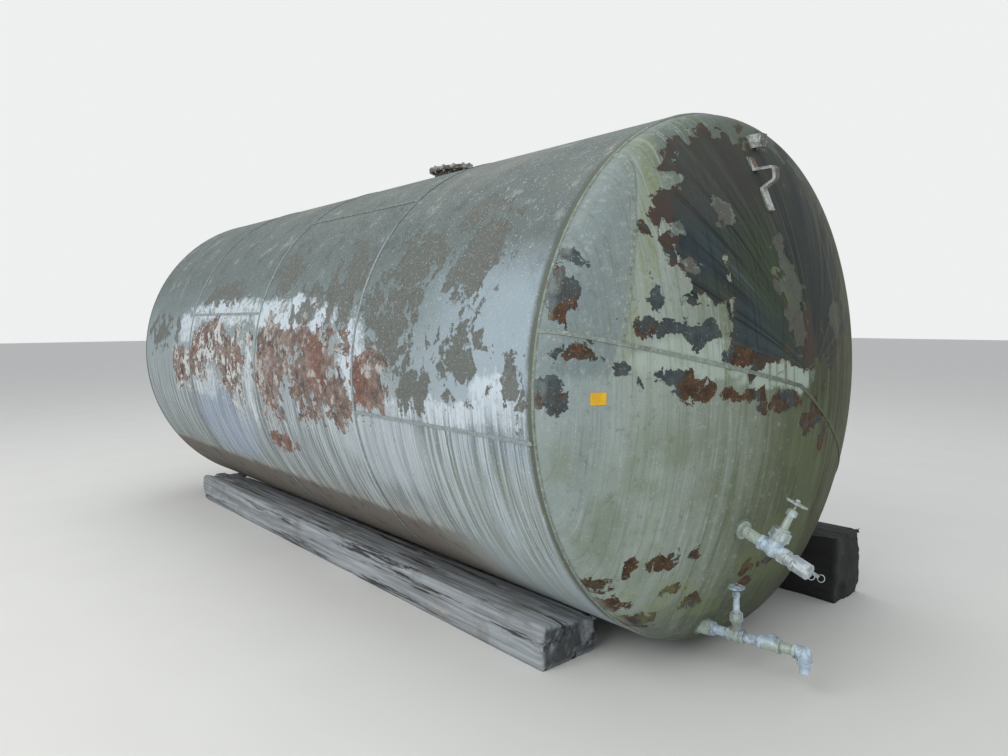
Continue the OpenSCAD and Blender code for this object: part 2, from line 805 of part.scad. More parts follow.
// Cam arm on its pin with the lobe inward, and its pull ring through the eye
module cam_arm(side) {
    upper_outlet() {
        translate([side * pin_x, 0, 0]) difference() {
            union() {
                translate([-side * lobe_shift, 0, pin_z]) upright()
                    cylinder(r = lobe_r, h = arm_w, center = true);
                translate([0, 0, pin_z + arm_l / 2]) cube([arm_t, arm_w, arm_l - arm_t], center = true);
                translate([0, 0, eye_z]) upright() cylinder(r = eye_r, h = arm_w / 2, center = true);
            }
            translate([0, 0, pin_z]) upright()
                cylinder(r = pin_d / 2 + seat, h = 2 * arm_w, center = true);
            translate([0, 0, eye_z]) upright()
                cylinder(r = wire_d / 2 + eye_gap, h = 2 * arm_w, center = true);
        }
        translate([side * pin_x, 0, eye_z + ring_r]) rotate([0, 90, 0])
            rotate_extrude() translate([ring_r, 0]) circle(r = wire_d / 2);
    }
}
module cam_arm_left() {
    cam_arm(-1);
}
module cam_arm_right() {
    cam_arm(1);
}

module drain_coupling() {
    drain_outlet() tube(lo_coupling_d / 2, lo_pipe_r + seat, -lo_coupling_h, lo_coupling_h);
}
module drain_bushing() {
    drain_outlet() tube(bushing_r, lo_pipe_r + seat, lo_coupling_h, lo_coupling_h + bushing_l);
}
module drain_nipples() {
    drain_outlet() {
        tube(lo_pipe_r, lo_pipe_r - lo_pipe_t, 0, lo_nipple_l + thread_l);
        tube(lo_pipe_r, lo_pipe_r - lo_pipe_t, lo_valve_end - thread_l, tee_z - fitting_a + thread_l);
        tube(lo_pipe_r, lo_pipe_r - lo_pipe_t, tee_z + fitting_a - thread_l,
            elbow_z - fitting_a + thread_l);
    }
}
module drain_valve_body() {
    drain_valve() valve_body(lo_pipe_r, lo_valve_l, lo_bowl_r, lo_nut_r, lo_nut_y);
}
module drain_valve_bonnet() {
    drain_valve()
        valve_bonnet(lo_nut_r, lo_nut_y, lo_nut_h, lo_neck_y, lo_bonnet_foot, lo_bonnet_top);
}
module drain_union_nut() {
    drain_valve() union_nut(lo_nut_r, lo_nut_y, lo_nut_h);
}
module drain_packing_nut() {
    drain_valve() packing_nut(lo_neck_y, lo_packing_d, lo_packing_h);
}
module drain_stem() {
    drain_valve() stem(lo_nut_y, lo_wheel_y);
}
module drain_handwheel() {
    drain_valve() translate([0, lo_wheel_y, 0]) handwheel(lo_wheel_d);
}

// Outside of a fitting's arm along Z: plain barrel with a band at its mouth
module arm_outside() {
    cylinder(r = fitting_r, h = fitting_a);
    translate([0, 0, fitting_a - band_l]) cylinder(r = band_r, h = band_l);
}

// Inside of a fitting's arm along Z: pipe socket and port
module arm_inside() {
    translate([0, 0, fitting_a - thread_l]) cylinder(r = lo_pipe_r + seat, h = thread_l + cut);
    cylinder(r = fitting_port, h = fitting_a);
}

// Tee whose open branch points to the right
module drain_tee() {
    drain_outlet() translate([0, 0, tee_z]) difference() {
        for (turn = [0, 90, 180]) rotate([0, turn, 0]) arm_outside();
        for (turn = [0, 90, 180]) rotate([0, turn, 0]) arm_inside();
    }
}

// Elbow turned down
module drain_elbow() {
    drain_outlet() translate([0, 0, elbow_z]) difference() {
        union() {
            for (turn = [90, 180]) rotate([turn, 0, 0]) arm_outside();
            sphere(r = fitting_r);
        }
        for (turn = [90, 180]) rotate([turn, 0, 0]) arm_inside();
        sphere(r = fitting_port);
    }
}

// Spout with its threaded foot in the elbow
module drain_spout() {
    drain_outlet() translate([0, 0, elbow_z]) rotate([90, 0, 0]) difference() {
        union() {
            translate([0, 0, fitting_a - thread_l]) cylinder(r = lo_pipe_r - seat, h = 2 * thread_l);
            translate([0, 0, fitting_a + seat]) cylinder(r = lo_pipe_r, h = spout_l - seat);
        }
        translate([0, 0, fitting_a - thread_l - cut])
            cylinder(r = lo_pipe_r - lo_pipe_t, h = thread_l + spout_l + 2 * cut);
    }
}

// Height of the shell's underside above the ground, at a distance from the centre plane
function under_h(x) = axis_h - sqrt(pow(vessel_r, 2) - pow(x, 2));

// Timber from its end view, with the seat that the shell and its seams have pressed into its edge
module timber(y, end_view) {
    color(timber_grey) translate([0, y - origin_y, 0]) difference() {
        translate([0, timber_l, 0]) forward() linear_extrude(timber_l) polygon(end_view);
        translate([0, shell_l - y, axis_h]) forward() cylinder(r = vessel_r + seat, h = shell_l);
        translate([0, seat - y, axis_h]) forward()
            cylinder(r = head_r + rim_weld_r + 2 * seat, h = rim_weld_r + 3 * seat);
        for (i = [1:3]) translate([0, course_end(i) + weld_w / 2 + seat - y, axis_h]) forward()
            cylinder(r = vessel_r + weld_h + seat, h = weld_w + 2 * seat);
    }
}
module timber_left() {
    inner = -left_timber_x;
    outer = inner - left_timber_w;
    timber(left_timber_y, [[outer, 0], [inner, 0], [inner, under_h(inner) + crush],
        [outer, left_timber_h]]);
}
module timber_right() {
    inner = right_timber_x;
    outer = inner + right_timber_w;
    top = under_h(inner) + crush;
    timber(-right_timber_y, [[inner, 0], [outer, 0], [outer, top], [inner, top]]);
}

shell_course(1);  // shell_course_1
shell_course(2);  // shell_course_2
shell_course(3);  // shell_course_3
shell_course(4);  // shell_course_4
shell_seam_welds();
front_rim_weld();
rear_rim_weld();
front_head_side_plate();
front_head_upper_plate();
front_head_lower_plate();
front_head_seam_welds();
rear_head();
front_lifting_lug();
rear_lifting_lug();
plate_bracket();
inspection_neck();
inspection_flange();
inspection_cover();
upper_coupling();
upper_nipple();
upper_valve_body();
upper_valve_bonnet();
upper_union_nut();
upper_packing_nut();
upper_stem();
upper_handwheel();
cam_adapter();
dust_cap();
cam_arm_left();
cam_arm_right();
drain_coupling();
drain_bushing();
drain_nipples();
drain_valve_body();
drain_valve_bonnet();
drain_union_nut();
drain_packing_nut();
drain_stem();
drain_handwheel();
drain_tee();
drain_elbow();
drain_spout();
timber_left();
timber_right();
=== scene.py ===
import json
import math

import bpy
from mathutils import Matrix, Vector, noise

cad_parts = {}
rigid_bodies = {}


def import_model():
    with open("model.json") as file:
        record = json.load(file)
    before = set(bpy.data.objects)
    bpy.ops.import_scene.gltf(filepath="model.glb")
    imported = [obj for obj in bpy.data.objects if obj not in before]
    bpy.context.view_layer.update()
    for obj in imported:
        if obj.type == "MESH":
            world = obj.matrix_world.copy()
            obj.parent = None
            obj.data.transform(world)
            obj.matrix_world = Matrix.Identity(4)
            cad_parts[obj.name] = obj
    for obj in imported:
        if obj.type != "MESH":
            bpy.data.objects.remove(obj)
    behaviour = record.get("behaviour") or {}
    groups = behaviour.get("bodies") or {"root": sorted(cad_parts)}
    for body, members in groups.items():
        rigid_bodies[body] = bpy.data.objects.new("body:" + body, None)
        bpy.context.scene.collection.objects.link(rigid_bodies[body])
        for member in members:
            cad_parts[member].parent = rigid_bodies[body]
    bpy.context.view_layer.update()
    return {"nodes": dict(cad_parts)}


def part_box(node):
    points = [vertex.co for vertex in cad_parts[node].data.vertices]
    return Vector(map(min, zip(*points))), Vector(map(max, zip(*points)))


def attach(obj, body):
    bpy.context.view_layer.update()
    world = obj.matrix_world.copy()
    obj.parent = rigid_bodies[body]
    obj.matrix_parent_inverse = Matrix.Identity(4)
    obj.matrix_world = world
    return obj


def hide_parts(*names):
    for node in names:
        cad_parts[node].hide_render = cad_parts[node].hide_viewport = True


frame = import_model()

# The vessel in metres: its shell and the heads' outer radius from the frame, and the curves of its heads
shell_low, shell_high = Vector(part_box("shell_course_1")[0]), Vector(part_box("shell_course_4")[1])
SHELL_R = shell_high.x
RIM_Y = shell_low.y
SHELL_L = shell_high.y - RIM_Y
AXIS_Z = (shell_low.z + shell_high.z) / 2
HEAD_R = Vector(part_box("rear_head")[1]).x
CROWN_R = 2.4384
KNUCKLE_R = 0.146
KNUCKLE_C = HEAD_R - KNUCKLE_R
CROWN_DROP = math.sqrt((CROWN_R - KNUCKLE_R) ** 2 - KNUCKLE_C**2)
CROWN_EDGE = CROWN_R * KNUCKLE_C / (CROWN_R - KNUCKLE_R)


def head_reach(r):
    """Reach of the dished head in front of the shell's end, at a distance from the axis."""
    if r < CROWN_EDGE:
        return math.sqrt(CROWN_R**2 - r * r) - CROWN_DROP
    return math.sqrt(max(KNUCKLE_R**2 - (r - KNUCKLE_C) ** 2, 0))


def turned(axis, degrees):
    return Matrix.Rotation(math.radians(degrees), 4, axis)


def moved(x, y, z):
    return Matrix.Translation((x, y, z))


# Turns in degrees: the vessel about its axis, and each fitting's clock angle from the vessel's top
VESSEL_ROLL = 14
UP_CLOCK, LO_CLOCK = 192.6, 182
LUG_CLOCK, BRACKET_CLOCK, NECK_CLOCK = -20, -15.5, -22

# Distances of the outlets from the axis, of the top fitting from the rim, and of the valves along their pipes
UP_RADIUS, LO_RADIUS = 0.665, 1.113
NECK_Y = 1.850
UP_VALVE, LO_VALVE = 0.1605, 0.1565
WHEEL_TOP = {"upper": 0.216, "drain": 0.217}

# How the outlets lean from the head: droop and twist of the upper one, swing, rise and twist of the drain
UP_DROOP, UP_TWIST = 2.5, -5.5
LO_SWING, LO_RISE, LO_TWIST = 7, 3, 14

# Frames of the vessel and of its fittings; a fitting's z runs along its pipe, away from the vessel
VESSEL = moved(0, RIM_Y, AXIS_Z) @ turned("Y", VESSEL_ROLL)
REAR = VESSEL @ moved(0, SHELL_L, 0) @ Matrix.Scale(-1, 4, (0, 1, 0))
UP_LEAN = math.degrees(math.asin(UP_RADIUS / CROWN_R)) + UP_DROOP
UPPER = (
    VESSEL @ turned("Y", UP_CLOCK) @ moved(0, -head_reach(UP_RADIUS), UP_RADIUS)
    @ turned("X", 90 - UP_LEAN) @ turned("Z", UP_CLOCK + UP_TWIST)
)
DRAIN = (
    VESSEL @ turned("Y", LO_CLOCK) @ moved(0, -head_reach(LO_RADIUS), LO_RADIUS) @ turned("Y", -LO_CLOCK)
    @ turned("Z", LO_SWING) @ turned("X", 90 - LO_RISE) @ turned("Z", LO_TWIST)
)
NECK = VESSEL @ turned("Y", NECK_CLOCK) @ moved(0, NECK_Y, SHELL_R)


def rgb(code):
    """A colour written as six hexadecimal digits, in linear light."""
    parts = [int(code[i : i + 2], 16) / 255 for i in (0, 2, 4)]
    return tuple(c / 12.92 if c <= 0.04045 else ((c + 0.055) / 1.055) ** 2.4 for c in parts) + (1.0,)


class Tone:
    """A value, colour or vector that changes over a surface."""

    def __init__(self, finish, socket):
        self.finish, self.socket = finish, socket

    def math(self, kind, *others):
        return self.finish.node("Math", {"operation": kind}, self, *others)

    def __add__(self, other):
        return self.math("ADD", other)

    __radd__ = __add__

    def __sub__(self, other):
        return self.math("SUBTRACT", other)

    def __rsub__(self, other):
        return self.finish.node("Math", {"operation": "SUBTRACT"}, other, self)

    def __mul__(self, other):
        return self.math("MULTIPLY", other)

    __rmul__ = __mul__

    def __abs__(self):
        return self.math("ABSOLUTE")

    def over(self, other):
        return self.math("MAXIMUM", other)

    def step(self, low, high):
        """0 below low, 1 above high, and smooth between; falls instead where low is above high."""
        kind = {"interpolation_type": "SMOOTHSTEP"}
        if low < high:
            return self.finish.node("MapRange", kind, self, low, high, 0.0, 1.0)
        return self.finish.node("MapRange", kind, self, high, low, 1.0, 0.0)


class Finish:
    """A material in the making, with its surface and its coordinates."""

    def __init__(self, name, roughness=0.8, metallic=0.0, gloss=0.5):
        self.material = bpy.data.materials.new(name)
        self.material.use_nodes = True
        self.tree = self.material.node_tree
        self.surface = self.tree.nodes["Principled BSDF"]
        self.surface.inputs["Roughness"].default_value = roughness
        self.surface.inputs["Metallic"].default_value = metallic
        self.surface.inputs["Specular IOR Level"].default_value = gloss
        spot = self.tree.nodes.new("ShaderNodeTexCoord")
        self.place = Tone(self, spot.outputs["Object"])
        self.x, self.y, self.z = self.split(self.place)

    def plug(self, socket, value):
        if isinstance(value, Tone):
            self.tree.links.new(value.socket, socket)
        elif value is not None:
            socket.default_value = value

    def node(self, kind, settings, *values, out=0, **named):
        made = self.tree.nodes.new("ShaderNode" + kind)
        for key, value in settings.items():
            setattr(made, key, value)
        for socket, value in zip(made.inputs, values):
            self.plug(socket, value)
        for key, value in named.items():
            self.plug(made.inputs[key], value)
        return Tone(self, made.outputs[out])

    def mix(self, under, over, mask):
        """One colour over another by a mask; a colour may be a code."""
        under, over = (rgb(c) if isinstance(c, str) else c for c in (under, over))
        made = self.tree.nodes.new("ShaderNodeMix")
        made.data_type = "RGBA"
        for index, value in ((0, mask), (6, under), (7, over)):
            self.plug(made.inputs[index], value)
        return Tone(self, made.outputs[2])

    def stack(self, under, *coats):
        """Coats of (colour, mask) laid over a colour in turn."""
        for colour, mask in coats:
            under = self.mix(under, colour, mask)
        return under

    def vector(self, x, y, z=0.0):
        return self.node("CombineXYZ", {}, x, y, z)

    def scaled(self, x, y, z):
        """The coordinates stretched by a factor along each axis."""
        return self.node("VectorMath", {"operation": "MULTIPLY"}, self.place, (x, y, z))

    def noise(self, scale, detail=4.0, rough=0.55, where=None, warp=0.0):
        return self.node("TexNoise", {}, Vector=where or self.place, Scale=scale, Detail=detail,
                         Roughness=rough, Distortion=warp)

    def cells(self, scale):
        return self.node("TexVoronoi", {}, Vector=self.place, Scale=scale)

    def flakes(self, scale, where):
        """Level of each flake of a broken coat, from about -0.5 to 0.5."""
        return self.node("TexVoronoi", {}, Vector=where, Scale=scale, out=1) - 0.5

    def stirred(self, amount, scale, start=None):
        """Coordinates pushed about by a noise, so that outlines on them turn ragged."""
        push = self.node("TexNoise", {}, Vector=self.place, Scale=scale, Detail=6.0, Roughness=0.65, out=1)
        push = self.node("VectorMath", {"operation": "SUBTRACT"}, push, (0.5, 0.5, 0.5))
        push = self.node("VectorMath", {"operation": "SCALE"}, push, Scale=amount)
        return self.node("VectorMath", {"operation": "ADD"}, start or self.place, push)

    def split(self, vector):
        parts = self.tree.nodes.new("ShaderNodeSeparateXYZ")
        self.plug(parts.inputs[0], vector)
        return [Tone(self, s) for s in parts.outputs]

    def bearing(self, rise, run):
        """Angle in radians, all the way round, whose tangent is rise over run."""
        return self.node("Math", {"operation": "ARCTAN2"}, rise, run)

    def patches(self, where, spots):
        """Field that is 1 in the middle of each spot (u, v, half width, half height) and 0 at its edge."""
        field = None
        for u, v, wide, high in spots:
            near = self.node("VectorMath", {"operation": "MULTIPLY_ADD"}, where,
                             (1 / wide, 1 / high, 0.0), (-u / wide, -v / high, 0.0))
            one = 1 - self.node("VectorMath", {"operation": "LENGTH"}, near, out=1)
            field = one if field is None else field.over(one)
        return field

    def bands(self, value, stops):
        """Colour ramp of (place, colour code) over a value from 0 to 1."""
        made = self.tree.nodes.new("ShaderNodeValToRGB")
        ramp = made.color_ramp.elements
        while len(ramp) < len(stops):
            ramp.new(0.5)
        for stop, (place, code) in zip(ramp, stops):
            stop.position = place
            stop.color = rgb(code)
        self.plug(made.inputs[0], value)
        return Tone(self, made.outputs[0])

    def done(self, colour, roughness=None, relief=None, depth=0.001, metallic=None):
        """Closes the finish with its colour, roughness and relief (a height of 0 to 1 times depth)."""
        self.plug(self.surface.inputs["Base Color"], colour)
        if roughness is not None:
            self.plug(self.surface.inputs["Roughness"], roughness)
        if metallic is not None:
            self.plug(self.surface.inputs["Metallic"], metallic)
        if relief is not None:
            bump = self.node("Bump", {}, Strength=1.0, Distance=depth, Height=relief)
            self.plug(self.surface.inputs["Normal"], bump)
        return self.material


# Worn places on the shell: (metres behind the front rim, degrees down from the top, half width, half height)
GREY_SPOTS = [
    (0.46, 63, 0.18, 17), (0.9, 62, 0.21, 11), (1.02, 80, 0.3, 14), (0.45, 84, 0.17, 9),
    (1.47, 66, 0.13, 20), (2.3, 62, 0.18, 8), (1.93, 73, 0.22, 6), (3.25, 68, 0.42, 5.5),
    (4.06, 80, 0.07, 8), (4.5, 80, 0.34, 7), (0.1, 88, 0.08, 7), (0.78, 91, 0.16, 6),
    (1.62, 72, 0.1, 9), (0.62, 50, 0.1, 7)]
RUST_SPOTS = [
    (1.17, 91, 0.23, 9), (1.76, 90, 0.4, 14), (2.34, 91, 0.31, 17), (2.93, 89, 0.28, 15),
    (3.35, 82.5, 0.5, 10), (3.62, 90, 0.3, 9), (3.98, 92.5, 0.25, 10), (2.34, 112, 0.26, 3.8),
    (2.1, 81, 0.9, 4.5), (1.46, 97, 0.14, 9)]
CHALK_SPOTS = [
    (2.1, 74.5, 0.7, 5.5), (3.1, 73, 0.75, 5.0), (3.84, 79, 0.26, 6), (1.33, 86, 0.14, 13),
    (2.62, 95, 0.09, 16), (0.2, 91, 0.2, 6), (0.62, 95, 0.5, 3), (3.45, 97, 0.3, 7)]
BRIGHT_SPOTS = [(0.98, 107, 0.42, 14), (1.45, 102, 0.3, 9), (2.0, 101, 0.3, 10)]
BLUISH_SPOTS = [(3.25, 111, 0.66, 16)]
WASHED_SPOTS = [(1.1, 105, 0.5, 13)]
# Width of the dark band at each end of the shell, in metres: dirt, and painted shade in the crease at the rim
RIM_SHADE_AND_DIRT = 0.028


def flaked_rust(f, along, remains):
    """Rust where the paint is gone: pinkish brown-grey, redder in places, with what remains of the paint."""
    return f.stack(
        f.bands(f.noise(12.0, 8.0, 0.72), [
            (0.3, "453b38"), (0.42, "63554f"), (0.52, "7d6f69"), (0.62, "8f837d"), (0.76, "a29d99")]),
        ("7a4f40", f.noise(3.1, 7.0, 0.7).step(0.5, 0.6) * 0.6),
        ("a5765a", f.noise(17.0, 6.0, 0.7).step(0.58, 0.66) * 0.5),
        ("cdd2d1", remains.step(0.045, 0.08) * along.step(2.0, 3.0) * 0.9),
        ("b4b8b6", remains.step(0.13, 0.16) * 0.8),
    )


def shell_finish():
    """Chalked grey-green paint that has flaked to rust along the middle, with dirt runs below it, and dark
    bands of dirt and painted shade at the rims.
    """
    f = Finish("chalked_shell_paint", gloss=0.25)
    along = f.y - RIM_Y
    down = abs(f.bearing(f.x, f.z - AXIS_Z)) * math.degrees(1)
    torn_x, torn_y, torn_z = f.split(f.stirred(0.07, 20.0, f.stirred(0.15, 5.0)))
    torn_down = abs(f.bearing(torn_x, torn_z - AXIS_Z)) * math.degrees(1)
    unrolled = f.vector(torn_y - RIM_Y, torn_down)

    broad = f.noise(1.6, 5.0, 0.6)
    ragged = f.noise(1.0, 9.0, 0.7, where=f.scaled(6.5, 14.0, 6.5)) - 0.5
    fine = f.noise(46.0, 6.0, 0.72)
    specks = f.noise(105.0, 4.0, 0.7)
    grain = f.noise(150.0, 3.0, 0.6)
    mottle = f.noise(7.0, 7.0, 0.75)
    curl = f.stirred(0.035, 26.0)
    big_flakes, small_flakes = f.flakes(13.0, curl), f.flakes(42.0, curl)
    bits = f.noise(24.0, 9.0, 0.78) - 0.5
    breakup = big_flakes * 1.3 + small_flakes * 0.35 + ragged * 1.6 + bits * 1.3
    runs = f.noise(1.0, 5.0, 0.62, where=f.scaled(1.2, 30.0, 1.2))
    thin_runs = f.noise(1.0, 4.0, 0.65, where=f.scaled(1.8, 95.0, 1.8))

    low = down.step(88, 100) * down.step(131, 122)
    front = along.step(1.0, 0.3)
    bluish = f.patches(unrolled, BLUISH_SPOTS)
    bright = f.patches(unrolled, BRIGHT_SPOTS)
    washed = f.patches(unrolled, WASHED_SPOTS)
    rust_field = f.patches(unrolled, RUST_SPOTS) * 1.5 + breakup + bits * 0.6
    flaked, flaked_edge = rust_field.step(0.28, 0.33), rust_field.step(0.18, 0.26)
    worn = (f.patches(unrolled, GREY_SPOTS) * 1.5 + breakup * 1.25 + bits * 0.6).step(0.36, 0.41)
    chalk = (f.patches(unrolled, CHALK_SPOTS) + ragged * 1.2 + small_flakes * 0.4).step(-0.04, 0.32)
    underside = (down + ragged * 7).step(124.5, 127) * along.step(0.4, 1.15)

    paint = f.bands((down + (broad - 0.5) * 16 + ragged * 5) * (1 / 180), [
        (0.10, "626b68"), (0.34, "66706f"), (0.40, "748080"), (0.45, "8b979b"), (0.56, "99a2a4"),
        (0.66, "98a0a2"), (0.72, "94968d"), (0.80, "6e6860"), (1.0, "504c48")])
    tinted = f.stack(
        paint,
        ("9fafb9", front * down.step(58, 72) * 0.75),
        ("aab5bd", (bright + ragged * 0.5).step(0, 0.5) * 0.75),
        ("97a5bb", (bluish + ragged * 0.4).step(0, 0.4) * 0.85),
        ("cbd6df", chalk * (bits + ragged * 0.6 + 0.6).step(0.42, 0.6) * 0.85),
    )
    streaked = f.stack(
        tinted,
        ("6a7273", runs.step(0.5, 0.62) * low * (1 - bluish.step(0, 0.5) * 0.6) * 0.7),
        ("c0c9cc", runs.step(0.5, 0.38) * low * 0.6),
        ("555d5c", thin_runs.step(0.52, 0.62) * low * 0.7),
        ("d0d8db", thin_runs.step(0.44, 0.34) * low * 0.55),
        ("b7c0c7", washed.step(0, 0.4) * 0.45),
        ("8a8f7c", front * down.step(98, 110) * runs.step(0.42, 0.55) * 0.5),
    )
    mottled = f.stack(
        streaked,
        ("4f5857", mottle.step(0.5, 0.66) * down.step(80, 50) * 0.7),
        ("a3aaa5", mottle.step(0.44, 0.32) * down.step(82, 55) * 0.55),
        ("a5aba6", bits.step(0.08, 0.16) * down.step(88, 60) * 0.4),
        ("5b625f", bits.step(-0.08, -0.15) * down.step(100, 60) * 0.4),
        ("c2cbce", bits.step(0.1, 0.15) * along.step(1.4, 0.9) * 0.5),
        ("8d8a80", broad.step(0.52, 0.66) * down.step(55, 30) * 0.35),
    )
    peeled = f.stack(
        mottled,
        ("626560", worn * 0.94),
        ("524f48", worn * bits.step(0.05, 0.11) * 0.6),
        ("7d817e", worn * fine.step(0.54, 0.64) * 0.6),
        ("d6dcde", flaked_edge * (1 - flaked) * (bits + 0.5).step(0.46, 0.54) * 0.8),
        (flaked_rust(f, along, bits + big_flakes * 0.35), flaked),
    )
    colour = f.stack(
        peeled,
        ("665f59", underside * 0.85),
        ("7d6e64", underside * fine.step(0.52, 0.64) * 0.6),
        ("4b4642", underside * mottle.step(0.52, 0.62) * 0.6),
        # Dark bands by the rims: dirt, and painted shade in the crease where the shell meets the heads
        ("535954", along.step(0.05, 0.02) * (ragged + 0.5).step(0.28, 0.5) * 0.8),
        ("ccd4d6", specks.step(0.6, 0.66) * down.step(132, 120) * 0.6),
        ("454a48", f.noise(30.0, 5.0, 0.78).step(0.63, 0.7) * 0.65),
        ("5b6153", along.over(SHELL_L - along).step(SHELL_L - RIM_SHADE_AND_DIRT, SHELL_L - 0.016) * 0.75),
    )
    relief = grain * 0.25 + fine * 0.35 - flaked * 0.6 - worn * 0.35 + ragged * 0.3
    return f.done(colour, 0.74 + flaked * 0.2 - chalk * 0.06, relief, 0.0024)


# Worn places on the heads: (x, height above the axis, half width, half height), in metres
SLATE_SPOTS = [
    (-0.25, 0.74, 0.4, 0.34), (0.22, 0.58, 0.5, 0.54), (-0.58, 0.64, 0.2, 0.2), (-0.26, 0.31, 0.27, 0.25),
    (-0.08, 0.94, 0.5, 0.14), (-0.44, 0.88, 0.19, 0.16), (0.05, 0.2, 0.2, 0.15), (-0.54, 0.45, 0.14, 0.12),
    (-0.3, 0.49, 0.2, 0.16)]
ISLAND_SPOTS = [
    (-0.04, 0.4, 0.09, 0.17), (-0.66, 0.635, 0.06, 0.05), (-0.4, 0.73, 0.06, 0.07), (0.0, 0.27, 0.06, 0.1),
    (0.42, 0.3, 0.09, 0.08), (-0.06, 0.6, 0.04, 0.06), (-0.62, 0.5, 0.05, 0.04)]
CHIP_SPOTS = [
    (-1.13, 0.38, 0.05, 0.12), (-1.1, 0.155, 0.09, 0.045), (-1.08, 0.52, 0.025, 0.035),
    (-0.97, 0.113, 0.03, 0.03), (-0.78, 0.255, 0.17, 0.04), (-0.64, 0.235, 0.12, 0.055),
    (-0.76, 0.055, 0.13, 0.045), (-0.66, 0.015, 0.12, 0.05), (-0.36, -0.012, 0.15, 0.04),
    (-0.13, -0.07, 0.2, 0.042), (0.14, -0.15, 0.13, 0.07), (0.27, -0.27, 0.06, 0.09),
    (-0.832, -0.673, 0.03, 0.05), (-0.69, -0.668, 0.055, 0.055), (-0.553, -0.668, 0.045, 0.03),
    (-0.6, -0.82, 0.07, 0.03), (-0.93, -0.76, 0.05, 0.06), (-0.85, -0.87, 0.07, 0.06),
    (-0.7, -0.96, 0.09, 0.05), (-0.17, -0.8, 0.05, 0.045), (0.0, -0.8, 0.08, 0.035),
    (-0.15, -0.89, 0.06, 0.035), (-0.47, -0.9, 0.07, 0.04), (-0.82, 0.4, 0.04, 0.07),
    (-0.42, 0.14, 0.12, 0.05), (-1.2, 0.0, 0.04, 0.09)]
MINT_SPOTS = [(-0.16, 0.06, 0.3, 0.08), (-0.02, 0.03, 0.14, 0.07), (-0.6, 0.14, 0.4, 0.1)]
SLATE_BROWN_SPOTS = [(-0.7, 0.66, 0.06, 0.17), (-0.3, 0.1, 0.3, 0.05), (0.08, 0.2, 0.07, 0.2)]
SLATE_BLUE_SPOTS = [(-0.6, 0.62, 0.22, 0.25), (-0.3, 0.25, 0.2, 0.16)]
SLATE_OLIVE_SPOTS = [(-0.2, 0.5, 0.18, 0.34)]
SLATE_MOSS_SPOTS = [(-0.12, 0.5, 0.3, 0.5)]
# Darker right part of the dark field: dirt and painted shade
SLATE_DARK_SPOTS = [(0.36, 0.6, 0.42, 0.6)]

# The seam of the side plate: how far it leans for each metre of height, and its x at the axis
SIDE_SEAM_LEAN, SIDE_SEAM_X = 0.299, -1.032

# The point that the strokes of the dark field fan out from
FAN_X, FAN_HIGH = 0.1, 0.05


def slate_tone(f, flat, strokes, broad, thin):
    """The dark field's colours: strokes of near black and green-grey, bluer and greener in places, and darker
    at the right, partly dirt and partly painted shade.
    """
    return f.stack(
        f.bands(strokes * 0.8 + broad * 0.2, [
            (0.34, "1f2427"), (0.44, "333a3a"), (0.5, "3a4438"), (0.56, "3e4a47"), (0.66, "505b57")]),
        ("34424c", f.patches(flat, SLATE_BLUE_SPOTS).step(0, 0.5) * 0.5),
        ("3d4a30", f.patches(flat, SLATE_OLIVE_SPOTS).step(0, 0.6) * 0.5),
        # Darker at the right: dirt and painted shade
        ("2b3031", f.patches(flat, SLATE_DARK_SPOTS).step(0, 0.4) * 0.75),
        ("22272a", thin.step(0.5, 0.64) * 0.6),
    )


def chip_tone(f, high, bits):
    """Grey primer in the chips, with brown rust that takes over lower down."""
    rusted = (f.noise(5.5, 5.0, 0.6) + (high + 0.3) * -0.12 + bits * 0.5).step(0.44, 0.5)
    primer = f.bands(f.noise(16.0, 7.0, 0.7), [(0.32, "363b3d"), (0.5, "444c4e"), (0.66, "515a5c")])
    rust = f.bands(f.noise(21.0, 8.0, 0.75), [(0.34, "33291f"), (0.5, "4e3c2d"), (0.64, "6b4d33")])
    return f.stack(primer, (rust, rusted * 0.95), ("6d7568", bits.step(0.1, 0.14) * 0.6))


